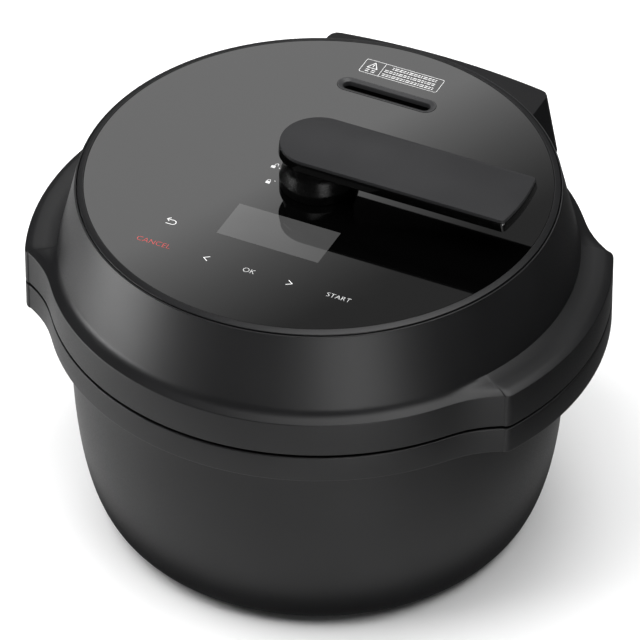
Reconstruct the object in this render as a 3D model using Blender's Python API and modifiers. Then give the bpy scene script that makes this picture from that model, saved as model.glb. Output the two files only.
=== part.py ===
"""Electric pressure cooker with a hinged lid and a turning lock handle.

Metres, +Z up, the front towards -Y. The pot's axis is the design axis: every piece is drawn
around it, and an empty carries the whole cooker so that its box is centred on the origin.
"""
import math

import bmesh
import bpy
from mathutils import Matrix, Vector

# Driving dimensions -------------------------------------------------------------------------
GAP = 0.0003            # between two pieces that touch
SEGMENTS = 48           # facets of the outer turned pieces
INNER_SEGMENTS = 32     # facets of the hidden turned pieces

POT_R = 0.118           # inner pot, inside radius
POT_DEPTH = 0.134
POT_WALL = 0.0015
POT_CLEAR = 0.0045      # air between the pot and the liner
LINER_T = 0.0015
LUG_RING_T = 0.009
LUG_LENGTH = 0.0095
LUG_T = 0.004
TAB_CLEAR = 0.0045      # lock tab to lug ring, room for the lid's swing
LUG_CLEAR = 0.0065      # lug tip to lock ring wall
LOCK_T = 0.0025
RUN_CLEAR = 0.002       # lock ring to the pieces around it
LOCK_COUNT = 8
LUG_SPAN = 20.0         # degrees
TAB_SPAN = 18.0

FOOT_H = 0.003
FOOT_R = 0.009
BASE_T = 0.0024
UNDER_LINER = 0.0063
PLATE_STAND = 0.0025
PLATE_T = 0.010
PLATE_R = 0.092

RIM_W = 0.0163          # lock ring room to the flange's edge
RIM_H = 0.0184
RIM_OVER = 0.0012       # rim top above the pot's rim
RIM_WALL = 0.003
EAR_REACH = 0.0137      # grips beyond the flange
EAR_HALF = 25.8         # degrees
EAR_BLEND = 38.0
SHELL_IN = 0.0139       # flange edge to the bowl's widest part
SHELL_T = 0.0025
BOWL_TURN = 0.0279      # the bowl draws in by this much to its foot
BOWL_TOP = 0.130

LID_GAP = 0.002         # shadow gap between the two flanges
FLANGE_H = 0.0235
LID_RISE = 0.056        # flange top to glass
SHELL_LID_T = 0.003
BEZEL_IN = 0.0198       # flange edge to bezel edge
BEZEL_W = 0.0042
BEZEL_H = 0.0065
GLASS_T = 0.003
VALLEY_IN = 0.0064      # flange edge to the foot of the shoulder
VALLEY_H = 0.0043

PRESSURE_T = 0.0025
SKIRT_T = 0.0022
SKIRT_DROP = 0.0125
SEAL_W = 0.0125
FRAME_T = 0.003
FRAME_RISE = 0.009      # flange top to frame

HINGE_BACK = 0.0027     # flange edge to hinge axis
HINGE_UP = 0.0075       # lid flange underside to hinge axis
PIN_R = 0.0025
KNUCKLE_R = 0.0052
HUMP_BACK = 0.0129      # hinge axis to the hump's rear face
HUMP_DROP = 0.0285      # glass to hump top
HUMP_HALF_TOP = 0.0765
HUMP_HALF_LOW = 0.0855
HUMP_BOW = 0.0065       # rear face is this much fuller in the middle
COVER_T = 0.003

HUB_R = 0.0247
HUB_NECK_R = 0.0216
HUB_H = 0.0204
HANDLE_UNDER = 0.0232   # finger gap over the glass
HANDLE_T = 0.0086
HANDLE_HALF = 0.0252
HANDLE_END_IN = 0.0065  # glass edge to handle end
HANDLE_SKIN = 0.0022
SPINDLE_R = 0.008
BUSH_T = 0.003

DISPLAY_X, DISPLAY_NEAR, DISPLAY_FAR = 0.0345, -0.0735, -0.041
SLOT_HALF, SLOT_Y, SLOT_R = 0.0335, 0.0983, 0.0067

SCREW_PITCH_R = 0.104
FOOT_PITCH_R = 0.100
SENSOR_HOLE_R = 0.020
SENSOR_R = 0.012
SENSOR_CLEAR = 0.0025
INLET_Z = 0.040
INLET_HALF_X = 0.019
INLET_HALF_Z = 0.014
VALVE_R = 0.0035
FLOAT_R = 0.0028
FLOAT_PITCH_R, FLOAT_ANGLE = 0.072, 255.0
POST_PITCH_R = 0.105

# Radii and heights that follow ----------------------------------------------------------------
LINER_R = POT_R + POT_WALL + POT_CLEAR
LUG_RING_R = LINER_R + LUG_RING_T
LUG_TIP_R = LUG_RING_R + LUG_LENGTH
TAB_R = LUG_RING_R + TAB_CLEAR
LOCK_R = LUG_TIP_R + LUG_CLEAR
LOCK_OUT_R = LOCK_R + LOCK_T
RIM_HOLE_R = LOCK_OUT_R + RUN_CLEAR
FLANGE_R = RIM_HOLE_R + RIM_W
BOWL_R = FLANGE_R - SHELL_IN
FOOT_RING_R = BOWL_R - BOWL_TURN
BEZEL_R = FLANGE_R - BEZEL_IN
GLASS_R = BEZEL_R - BEZEL_W - GAP
VALLEY_R = FLANGE_R - VALLEY_IN

BASE_Z = FOOT_H + GAP
LINER_Z = BASE_Z + BASE_T + UNDER_LINER
PLATE_Z = LINER_Z + LINER_T + PLATE_STAND
POT_Z = PLATE_Z + PLATE_T + GAP
POT_RIM_Z = POT_Z + POT_DEPTH
LUG_Z = POT_RIM_Z - GAP - LUG_T
RIM_TOP = POT_RIM_Z + RIM_OVER
RIM_Z = RIM_TOP - RIM_H
LID_Z = RIM_TOP + LID_GAP
LID_TOP = LID_Z + FLANGE_H
GLASS_Z = LID_TOP + LID_RISE
FRAME_Z = LID_TOP + FRAME_RISE
SEAT_Z = POT_RIM_Z + POT_WALL + GAP
PRESSURE_Z = SEAT_Z + SKIRT_DROP
LOCK_TOP_Z = PRESSURE_Z + PRESSURE_T + GAP
DRIVE_Z = LOCK_TOP_Z + LOCK_T + GAP
HINGE_Y = FLANGE_R + HINGE_BACK
HINGE_Z = LID_Z + HINGE_UP
REAR_Y = HINGE_Y + HUMP_BACK
HUMP_TOP = GLASS_Z - HUMP_DROP
HANDLE_Z = GLASS_Z + HANDLE_UNDER
HANDLE_TOP = HANDLE_Z + HANDLE_T
AXIS_Y = (FLANGE_R - REAR_Y) / 2
SPINDLE_TOP = GLASS_Z + 0.015
POT_RIM_R = LUG_RING_R - 0.002
CHEEK_IN = HUMP_HALF_LOW - 0.0143      # inner side of the hinge housing's cheeks
KNUCKLE_X = CHEEK_IN - 0.0112
KNUCKLE_W = 0.006
BRACKET_X = KNUCKLE_X - 0.010
PIN_IN = BRACKET_X - 0.0165
PIN_OUT = KNUCKLE_X + KNUCKLE_W + 0.002
LIP_R, LIP_Z = BEZEL_R + 0.0013, GLASS_Z - 0.0018
SHOULDER = [(VALLEY_R - 0.0020, LID_TOP + VALLEY_H + 0.0080),
            (VALLEY_R - 0.0004, LID_TOP + VALLEY_H + 0.0015),
            (VALLEY_R + 0.0016, LID_TOP + VALLEY_H - 0.0008)]

# Scene ------------------------------------------------------------------------------------------
for old in list(bpy.data.objects):
    bpy.data.objects.remove(old, do_unlink=True)

PARTS = bpy.data.collections.new("electric_pressure_cooker")
CUTTERS = bpy.data.collections.new("cutters")
for group in (PARTS, CUTTERS):
    bpy.context.scene.collection.children.link(group)


def carrier(name, point, parent=None):
    """An empty on a joint's axis; its point is counted from the pot's axis at floor level."""
    empty = bpy.data.objects.new(name, None)
    PARTS.objects.link(empty)
    empty.parent = parent
    empty.location = Vector(point) - from_pot_axis(parent)
    return empty


def from_pot_axis(empty):
    """Where an empty stands, counted from the pot's axis."""
    place = Vector((0.0, 0.0, 0.0))
    while empty is not None and empty is not BODY:
        place += empty.location
        empty = empty.parent
    return place


BODY = carrier("pot_axis", (0.0, AXIS_Y, 0.0))
LID = carrier("hinge_axis", (0.0, HINGE_Y, HINGE_Z), BODY)
LOCK = carrier("lock_axis", (0.0, 0.0, GLASS_Z), LID)


def material(name, colour, roughness, metallic=0.0):
    """A Principled material, made once for each finish."""
    finish = bpy.data.materials.get(name) or bpy.data.materials.new(name)
    finish.use_nodes = True
    shader = finish.node_tree.nodes["Principled BSDF"]
    shader.inputs["Base Color"].default_value = (*colour, 1.0)
    shader.inputs["Roughness"].default_value = roughness
    shader.inputs["Metallic"].default_value = metallic
    return finish


FINISHES = {
    "matte": ((0.045, 0.045, 0.045), 0.5, 0.0),
    "gloss": ((0.01, 0.01, 0.01), 0.12, 0.0),
    "satin": ((0.058, 0.058, 0.058), 0.4, 0.0),
    "glass": ((0.03, 0.03, 0.03), 0.06, 0.0),
    "steel": ((0.62, 0.62, 0.62), 0.28, 1.0),
    "aluminium": ((0.7, 0.7, 0.71), 0.35, 1.0),
    "rubber": ((0.02, 0.02, 0.02), 0.8, 0.0),
    "silicone": ((0.55, 0.56, 0.56), 0.5, 0.0),
    "board": ((0.02, 0.16, 0.06), 0.5, 0.0),
    "brass": ((0.72, 0.55, 0.26), 0.3, 1.0),
}


def finish(obj, kind, parent, at=(0.0, 0.0, 0.0)):
    """Gives a piece its own material and hangs it on its body."""
    obj.data.materials.clear()
    obj.data.materials.append(material(obj.name, *FINISHES[kind]))
    obj.parent = parent
    obj.location = Vector(at) - from_pot_axis(parent)
    return obj


# Makers -----------------------------------------------------------------------------------------
def link(name, data):
    obj = bpy.data.objects.new(name, data)
    PARTS.objects.link(obj)
    return obj


def turned(name, profile, segments=INNER_SEGMENTS):
    """A profile of (radius, height), down the outer side and up the inner one, turned about Z."""
    count = len(profile)
    open_ended = profile[0][0] == 0.0 and profile[-1][0] == 0.0
    edges = [(i, (i + 1) % count) for i in range(count - open_ended)]
    mesh = bpy.data.meshes.new(name)
    mesh.from_pydata([(radius, 0.0, z) for radius, z in profile], edges, [])
    obj = link(name, mesh)
    screw = obj.modifiers.new("Turn", "SCREW")
    screw.steps = screw.render_steps = segments
    screw.use_merge_vertices = True
    screw.merge_threshold = 0.00001
    return obj


def plate(name, outline, low, high, holes=()):
    """A flat outline of (x, y) points with holes, extruded between two heights."""
    curve = bpy.data.curves.new(name, "CURVE")
    curve.dimensions = "2D"
    curve.fill_mode = "BOTH"
    curve.extrude = (high - low) / 2
    for points in (outline, *holes):
        spline = curve.splines.new("POLY")
        spline.points.add(len(points) - 1)
        for point, (x, y) in zip(spline.points, points):
            point.co = (x, y, 0.0, 1.0)
        spline.use_cyclic_u = True
    return as_mesh(name, curve, Matrix.Translation((0.0, 0.0, (high + low) / 2)))


def as_mesh(name, curve, matrix=Matrix()):
    """Turns a curve into a welded mesh object of the same shape."""
    draft = link(name + ".draft", curve)
    bpy.context.view_layer.update()
    evaluated = draft.evaluated_get(bpy.context.evaluated_depsgraph_get())
    mesh = bpy.data.meshes.new_from_object(evaluated)
    bpy.data.objects.remove(draft, do_unlink=True)
    work = bmesh.new()
    work.from_mesh(mesh)
    bmesh.ops.remove_doubles(work, verts=work.verts, dist=0.000001)
    bmesh.ops.transform(work, matrix=matrix, verts=work.verts)
    work.to_mesh(mesh)
    work.free()
    return link(name, mesh)


def tube(name, points, radius):
    """A round wire along points."""
    curve = bpy.data.curves.new(name, "CURVE")
    curve.dimensions = "3D"
    curve.bevel_depth = radius
    curve.bevel_resolution = 1
    curve.use_fill_caps = True
    spline = curve.splines.new("POLY")
    spline.points.add(len(points) - 1)
    for point, place in zip(spline.points, points):
        point.co = (*place, 1.0)
    return as_mesh(name, curve)


def box(name, low, high):
    """A block between two corners."""
    low, high = Vector(low), Vector(high)
    size = high - low
    work = bmesh.new()
    matrix = Matrix.Translation((low + high) / 2) @ Matrix.Diagonal((*size, 1.0))
    bmesh.ops.create_cube(work, size=1.0, matrix=matrix)
    return from_bmesh(name, work)


def rod(name, centre, radius, length, axis="Z", segments=16, top_radius=None):
    """A cylinder or cone centred on a point."""
    turn = {"Z": Matrix(), "X": Matrix.Rotation(math.pi / 2, 4, "Y"),
            "Y": Matrix.Rotation(math.pi / 2, 4, "X")}[axis]
    work = bmesh.new()
    bmesh.ops.create_cone(work, cap_ends=True, segments=segments, radius1=radius,
                          radius2=radius if top_radius is None else top_radius,
                          depth=length, matrix=Matrix.Translation(centre) @ turn)
    return from_bmesh(name, work)


def from_bmesh(name, work):
    mesh = bpy.data.meshes.new(name)
    work.to_mesh(mesh)
    work.free()
    return link(name, mesh)


def combine(obj, tools, operation="DIFFERENCE"):
    """Cuts or joins each tool; the tools are kept out of the model."""
    for tool in tools:
        PARTS.objects.unlink(tool)
        CUTTERS.objects.link(tool)
        tool.parent = BODY
        tool.hide_render = True
        tool.display_type = "WIRE"
        modifier = obj.modifiers.new(tool.name, "BOOLEAN")
        modifier.operation = operation
        modifier.solver = "EXACT"
        modifier.object = tool
    return obj


def polar(radius, degrees):
    angle = math.radians(degrees)
    return (radius * math.cos(angle), radius * math.sin(angle))


def circle(radius, segments=INNER_SEGMENTS, centre=(0.0, 0.0)):
    points = [polar(radius, 360 * i / segments) for i in range(segments)]
    return [(x + centre[0], y + centre[1]) for x, y in points]


def slot_outline(half, radius, centre_y, steps=8):
    """A slot with round ends, half its whole length from the middle to each tip."""
    right = [polar(radius, -90 + 180 * i / steps) for i in range(steps + 1)]
    middle = half - radius
    return ([(x + middle, y + centre_y) for x, y in right]
            + [(-x - middle, centre_y - y) for x, y in right])


def grip_outline(inset=0.0):
    """The flange's round outline with a grip on each side, drawn in by inset."""
    corner = 1.8
    quarter = [(EAR_REACH, 4.0 * i) for i in range(6)]
    for i in range(4):
        angle = math.radians(30 * i)
        quarter.append((EAR_REACH - 0.0025 * (1 - math.cos(angle)),
                        EAR_HALF - corner + corner * math.sin(angle)))
    for i in range(1, 6):
        share = 1 - i / 6
        angle = EAR_BLEND + (EAR_HALF - EAR_BLEND) * share
        quarter.append(((EAR_REACH - 0.0025) * share ** 2.5, angle))
    quarter += [(0.0, EAR_BLEND + (90 - EAR_BLEND) * i / 10) for i in range(11)]
    half = quarter + [(reach, 180 - angle) for reach, angle in reversed(quarter[:-1])]
    whole = half + [(reach, 360 - angle) for reach, angle in reversed(half[1:-1])]
    return [polar(FLANGE_R + reach - inset, angle) for reach, angle in whole]


def ring_sector(name, inner, outer, middle, span, low, high, steps=3):
    """A block between two radii, spanning some degrees."""
    angles = [middle - span / 2 + span * i / steps for i in range(steps + 1)]
    outline = [polar(outer, a) for a in angles] + [polar(inner, a) for a in reversed(angles)]
    return plate(name, outline, low, high)


# Body: shell, rim and base -------------------------------------------------------------------------
def bowl_radius(z):
    """Outside radius of the shell: nearly upright above, drawing in to a round foot."""
    depth = min(max((BOWL_TOP - z) / (BOWL_TOP - 0.002), 0.0), 1.0)
    angle = math.asin(depth ** (1 / 0.884))
    return FOOT_RING_R + BOWL_TURN * math.cos(angle) ** 0.884


def shell_pieces():
    low, top = FOOT_H, RIM_Z - GAP
    levels = [top - (top - BOWL_TOP) / 2, BOWL_TOP, 0.105, 0.08, 0.057, 0.037, 0.022, 0.011, 0.005]
    heights = [z for z in levels if z > low + 0.001]
    flare = BOWL_R + 0.002
    outer = [(flare, top)] + [(bowl_radius(z), z) for z in heights] + [(FOOT_RING_R, low)]
    base_hole = FOOT_RING_R - 0.006
    inner = [(base_hole, low), (base_hole, low + SHELL_T)]
    inner += [(bowl_radius(z) - SHELL_T * (1.5 if z < 0.02 else 1.1), z)
              for z in reversed(heights) if z > low + SHELL_T + 0.003]
    inner += [(flare - SHELL_T, top)]
    shell = turned("outer_shell", outer + inner, SEGMENTS)
    inlet = box("cut_inlet", (-INLET_HALF_X - GAP, BOWL_R - 0.03, INLET_Z - INLET_HALF_Z - GAP),
                (INLET_HALF_X + GAP, FLANGE_R, INLET_Z + INLET_HALF_Z + GAP))
    finish(combine(shell, [inlet]), "matte", BODY)

    rim = plate("body_rim", grip_outline(), RIM_Z, RIM_TOP, [circle(RIM_HOLE_R, SEGMENTS)])
    hollow = plate("cut_rim", grip_outline(RIM_WALL), RIM_Z + RIM_WALL, RIM_TOP - RIM_WALL)
    finish(combine(rim, [hollow]), "matte", BODY)

    cover_r = base_hole * math.cos(math.pi / SEGMENTS) - GAP      # clear of the hole's flat facets
    cover = turned("base_cover", [(0.0, BASE_Z + BASE_T), (cover_r, BASE_Z + BASE_T), (cover_r, BASE_Z),
                                  (0.0, BASE_Z)])
    vents = [box("cut_vent_%d" % i, (-0.03, -0.06 + 0.012 * i, 0.0), (0.03, -0.055 + 0.012 * i, 0.02))
             for i in range(4)]
    bores = [rod("cut_screw_%d" % i, (*polar(SCREW_PITCH_R, 45 + 90 * i), BASE_Z), 0.0025, 0.02)
             for i in range(4)]
    finish(combine(cover, vents + bores), "matte", BODY)


def feet_and_screws():
    for i, angle in enumerate((22.0, 158.0, 202.0, 338.0)):
        x, y = polar(FOOT_PITCH_R, angle)
        foot = rod("foot_%d" % (i + 1), (0.0, 0.0, FOOT_H / 2), FOOT_R, FOOT_H, segments=20,
                   top_radius=FOOT_R - 0.001)
        finish(foot, "rubber", BODY, (x, y, 0.0))
        shank_r = 0.0025 - GAP
        head_z = BASE_Z - GAP
        screw = turned("base_screw_%d" % (i + 1),
                       [(0.0, head_z + 0.009), (shank_r, head_z + 0.009), (shank_r, head_z),
                        (0.0045, head_z), (0.0035, head_z - 0.0018), (0.0, head_z - 0.0018)], 12)
        finish(screw, "steel", BODY, (*polar(SCREW_PITCH_R, 45 + 90 * i), 0.0))


# Body: liner, pot and heater --------------------------------------------------------------------------
def cooking_pieces():
    flange_z = LUG_Z - LUG_T - GAP
    outer_r = LINER_R + LINER_T
    liner = turned("inner_liner", [
        (LUG_RING_R, flange_z), (LUG_RING_R, flange_z - LINER_T), (outer_r, flange_z - LINER_T),
        (outer_r, LINER_Z + 0.012), (outer_r - 0.010, LINER_Z), (SENSOR_HOLE_R, LINER_Z),
        (SENSOR_HOLE_R, LINER_Z + LINER_T), (outer_r - 0.0112, LINER_Z + LINER_T),
        (LINER_R, LINER_Z + 0.0132), (LINER_R, flange_z)])
    finish(liner, "aluminium", BODY)

    lugs = [ring_sector("lug_%d" % i, LUG_RING_R - 0.003, LUG_TIP_R, 360 / LOCK_COUNT * (i + 0.5),
                        LUG_SPAN, LUG_Z + 0.0001, LUG_Z + LUG_T - 0.0001)
            for i in range(LOCK_COUNT)]
    ring = turned("lug_ring", [(LUG_RING_R, LUG_Z + LUG_T), (LUG_RING_R, LUG_Z - LUG_T),
                               (LINER_R, LUG_Z - LUG_T), (LINER_R, LUG_Z + LUG_T)])
    finish(combine(ring, lugs, "UNION"), "steel", BODY)

    out, top = POT_R + POT_WALL, POT_RIM_Z + POT_WALL
    floor = POT_Z + POT_WALL
    pot = turned("inner_pot", [
        (0.0, floor), (POT_R - 0.0155, floor), (POT_R - 0.0045, floor + 0.0045),
        (POT_R, floor + 0.0155), (POT_R, top), (POT_RIM_R, top), (POT_RIM_R, POT_RIM_Z),
        (out, POT_RIM_Z), (out, POT_Z + 0.0165), (out - 0.0048, POT_Z + 0.0048),
        (out - 0.0165, POT_Z), (0.0, POT_Z)])
    finish(pot, "steel", BODY)


def heating_pieces():
    top, hole = PLATE_Z + PLATE_T, SENSOR_R + SENSOR_CLEAR
    groove_r, groove_half, groove_top = 0.070, 0.007, PLATE_Z + 0.0065
    heater = turned("heating_plate", [
        (hole, top), (PLATE_R, top), (PLATE_R, PLATE_Z), (groove_r + groove_half, PLATE_Z),
        (groove_r + groove_half, groove_top), (groove_r - groove_half, groove_top),
        (groove_r - groove_half, PLATE_Z), (hole, PLATE_Z)])
    leg_z = LINER_Z + LINER_T + GAP
    legs = [rod("leg_%d" % i, (*polar(PLATE_R - 0.007, 30 + 120 * i), (leg_z + PLATE_Z + 0.001) / 2),
                0.005, PLATE_Z + 0.001 - leg_z) for i in range(3)]
    finish(combine(heater, legs, "UNION"), "aluminium", BODY)

    wire_r = 0.0027
    wire = [(*polar(groove_r, 12 + 336 * i / 28), groove_top - wire_r - GAP) for i in range(29)]
    finish(tube("heating_element", wire, wire_r), "steel", BODY)

    dish_top = LINER_Z - 0.0038
    bracket_r = SENSOR_HOLE_R + 0.002
    bracket = turned("sensor_bracket", [
        (0.0, dish_top), (bracket_r, dish_top), (bracket_r, LINER_Z - GAP),
        (bracket_r + 0.006, LINER_Z - GAP), (bracket_r + 0.006, dish_top - 0.0012),
        (0.0, dish_top - 0.0012)], 24)
    finish(bracket, "steel", BODY)

    cap_top = POT_Z - GAP
    cap_under = cap_top - 0.002
    sensor = turned("temperature_sensor", [
        (0.0, cap_top), (SENSOR_R, cap_top), (SENSOR_R, cap_top - 0.008),
        (SENSOR_R - 0.0015, cap_top - 0.008), (SENSOR_R - 0.0015, cap_under), (0.0, cap_under)], 24)
    slide = carrier("sensor_axis", (0.0, 0.0, cap_top), BODY)
    finish(sensor, "aluminium", slide)

    spring_wire = 0.0006
    low, high = dish_top + GAP + spring_wire, cap_under - GAP - spring_wire
    turns, steps = 4, 8
    coil = [(*polar(0.006, 360 * i / steps), low + (high - low) * i / (turns * steps))
            for i in range(turns * steps + 1)]
    finish(tube("sensor_spring", coil, spring_wire), "steel", BODY)


def electric_pieces():
    board_y = -(BOWL_R - 0.0153)
    board = box("power_board", (-0.032, board_y - 0.0016, INLET_Z + 0.005),
                (0.032, board_y, INLET_Z + 0.065))
    finish(board, "board", BODY)
    parts = (("relay", (0.004, INLET_Z + 0.040), (0.024, INLET_Z + 0.056), "matte"),
             ("transformer", (-0.026, INLET_Z + 0.015), (-0.004, INLET_Z + 0.037), "brass"))
    for name, (x0, z0), (x1, z1), kind in parts:
        depth = min(0.011, -board_y - (LINER_R + LINER_T) / math.cos(math.radians(4)) - 0.002)
        finish(box(name, (x0, board_y + GAP, z0), (x1, board_y + depth, z1)), kind, BODY)

    face = bowl_radius(INLET_Z)
    socket = box("power_inlet", (-INLET_HALF_X, face - 0.003, INLET_Z - INLET_HALF_Z),
                 (INLET_HALF_X, face + 0.002, INLET_Z + INLET_HALF_Z))
    back = box("inlet_back", (-0.0145, face - 0.021, INLET_Z - 0.0105),
               (0.0145, face - 0.001, INLET_Z + 0.0105))
    recess = box("cut_recess", (-0.0125, face - 0.018, INLET_Z - 0.0085),
                 (0.0125, face + 0.02, INLET_Z + 0.0085))
    combine(socket, [back], "UNION")
    finish(combine(socket, [recess]), "matte", BODY)
    for i, (x, z) in enumerate(((-0.007, 0.0015), (0.0, -0.0025), (0.007, 0.0015))):
        pin = box("inlet_pin_%d" % (i + 1), (x - 0.001, face - 0.018 + GAP, INLET_Z + z - 0.002),
                  (x + 0.001, face - 0.003, INLET_Z + z + 0.002))
        finish(pin, "brass", BODY)


# Hinge ---------------------------------------------------------------------------------------------
def hump_outline(half, front, inset=0.0):
    """The hump from above: upright sides, round corners and a rear face that bows out."""
    corner = 0.007
    flat = half - corner
    rear = [(flat * i / 6, REAR_Y - inset - HUMP_BOW * (flat * i / 6 / half) ** 2) for i in range(7)]
    corner_y = rear[-1][1] - corner + inset
    turn = [polar(corner - inset, 60), polar(corner - inset, 30), polar(corner - inset, 0)]
    right = rear + [(x + flat, y + corner_y) for x, y in turn] + [(half - inset, front)]
    return right[::-1] + [(-x, y) for x, y in right[1:]]


def taper(obj, low, high, ratio):
    """Draws the sides in towards the top, for the mould's draft."""
    for vertex in obj.data.vertices:
        share = (vertex.co.z - low) / (high - low)
        vertex.co.x *= 1 + (ratio - 1) * share
    return obj


def around(radius):
    """Radius whose facets stay outside a circle."""
    return radius / math.cos(math.pi / SEGMENTS)


def flange_cutter(name, radius, low, high):
    radius = around(radius)
    return turned(name, [(0.0, high), (radius, high), (radius, low), (0.0, low)], SEGMENTS)


def hinge_pieces():
    front = FLANGE_R * 0.75
    foot, top = RIM_Z - 0.003, HINGE_Z + 0.0017
    housing = plate("hinge_housing", hump_outline(HUMP_HALF_LOW, front), foot, top)
    swing = HUMP_BACK + 0.0009
    cuts = [
        flange_cutter("cut_body", FLANGE_R + GAP, foot - 0.01, RIM_TOP + 0.001),
        flange_cutter("cut_lid_swing", FLANGE_R + 0.0017, RIM_TOP, top + 0.01),
        rod("cut_trough", (0.0, HINGE_Y, HINGE_Z), swing, 2 * CHEEK_IN, "X", 48),
        box("cut_rear_sweep", (-CHEEK_IN, HINGE_Y, HINGE_Z - swing), (CHEEK_IN, REAR_Y + 0.01, top + 0.01)),
        box("cut_over_trough", (-CHEEK_IN, front, HINGE_Z - 0.005), (CHEEK_IN, REAR_Y + 0.01, top + 0.01)),
    ]
    for side in (-1, 1):
        near, far = sorted((side * (CHEEK_IN - 0.0005), side * 0.1))
        cuts.append(box("cut_cheek_%d" % side, (near, HINGE_Y - 0.0005, HINGE_Z - 0.0095),
                        (far, REAR_Y + 0.01, top + 0.01)))
    combine(housing, cuts)
    for side in (-1, 1):
        centre = side * (KNUCKLE_X + KNUCKLE_W / 2)
        disc = rod("knuckle_%d" % side, (centre, HINGE_Y, HINGE_Z), KNUCKLE_R, KNUCKLE_W, "X", 24)
        web = box("web_%d" % side, (centre - KNUCKLE_W / 2 + 0.0002, HINGE_Y - 0.0125, HINGE_Z - 0.0200),
                  (centre + KNUCKLE_W / 2 - 0.0002, HINGE_Y - 0.0015, HINGE_Z + 0.003))
        bore = rod("cut_bore_%d" % side, (centre, HINGE_Y, HINGE_Z), PIN_R + GAP, 0.02, "X", 16)
        combine(housing, [web, disc], "UNION")
        combine(housing, [bore])
    finish(housing, "matte", BODY)

    for side, word in ((-1, "left"), (1, "right")):
        pin = rod("hinge_pin_" + word, (side * (PIN_IN + PIN_OUT) / 2, HINGE_Y, HINGE_Z), PIN_R,
                  PIN_OUT - PIN_IN, "X", 16)
        finish(pin, "steel", BODY)
        turns, steps, wire = 4, 8, 0.0007
        coil = []
        for i in range(turns * steps + 1):
            y, z = polar(0.0039, 360 * i / steps)
            coil.append((side * (PIN_IN + 0.0015 + 0.010 * i / (turns * steps)), HINGE_Y + y, HINGE_Z + z))
        finish(tube("hinge_spring_" + word, coil, wire), "steel", BODY)

        near, far = sorted((side * BRACKET_X, side * (BRACKET_X + 0.004)))
        frame_top = FRAME_Z + FRAME_T
        disc = rod("hinge_bracket_" + word, ((near + far) / 2, HINGE_Y, HINGE_Z), KNUCKLE_R, 0.004, "X", 24)
        post = box("bracket_post_" + word, (near + 0.0002, HINGE_Y - 0.0045, HINGE_Z),
                   (far - 0.0002, HINGE_Y + 0.0045, frame_top + 0.0073))
        reach = box("bracket_reach_" + word, (near + 0.0001, FLANGE_R - 0.050, frame_top + GAP),
                    (far - 0.0001, HINGE_Y + 0.0040, frame_top + 0.0070))
        bore = rod("cut_bracket_" + word, ((near + far) / 2, HINGE_Y, HINGE_Z), PIN_R + GAP, 0.02, "X", 16)
        combine(disc, [post, reach], "UNION")
        finish(combine(disc, [bore]), "steel", LID)


def rear_cover():
    front = FLANGE_R * 0.75
    low, ratio = HINGE_Z - 0.0015, HUMP_HALF_TOP / HUMP_HALF_LOW
    cover = taper(plate("rear_cover", hump_outline(HUMP_HALF_LOW, front), low, HUMP_TOP),
                  low, HUMP_TOP, ratio)
    hollow = plate("cut_hump", hump_outline(HUMP_HALF_LOW, front - 0.02, COVER_T), low - 0.01,
                   HUMP_TOP - COVER_T)
    taper(hollow, low, HUMP_TOP, ratio)
    lid_side = turned("cut_lid_side", [
        (0.0, GLASS_Z + 0.01), (LIP_R + GAP, GLASS_Z + 0.01), (LIP_R + GAP, LIP_Z)]
        + [(r + GAP, z + GAP) for r, z in SHOULDER]
        + [(around(FLANGE_R + GAP), LID_TOP + GAP), (around(FLANGE_R + GAP), low - 0.02),
           (0.0, low - 0.02)],
        SEGMENTS)
    cheeks = []
    for side in (-1, 1):
        near, far = sorted((side * CHEEK_IN, side * 0.11))
        cheeks.append(box("cut_hump_cheek_%d" % side, (near, front - 0.01, low - 0.02),
                          (far, REAR_Y + 0.01, HINGE_Z + 0.0020)))
    finish(combine(cover, [hollow, lid_side] + cheeks), "matte", LID)


# Lid shell, glass and what lies under it ------------------------------------------------------------
def shoulder_radius(z):
    """Outside radius of the shoulder's straight part."""
    (r0, z0), (r1, z1) = (LIP_R, LIP_Z), SHOULDER[0]
    return r0 + (r1 - r0) * (z0 - z) / (z0 - z1)


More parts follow.
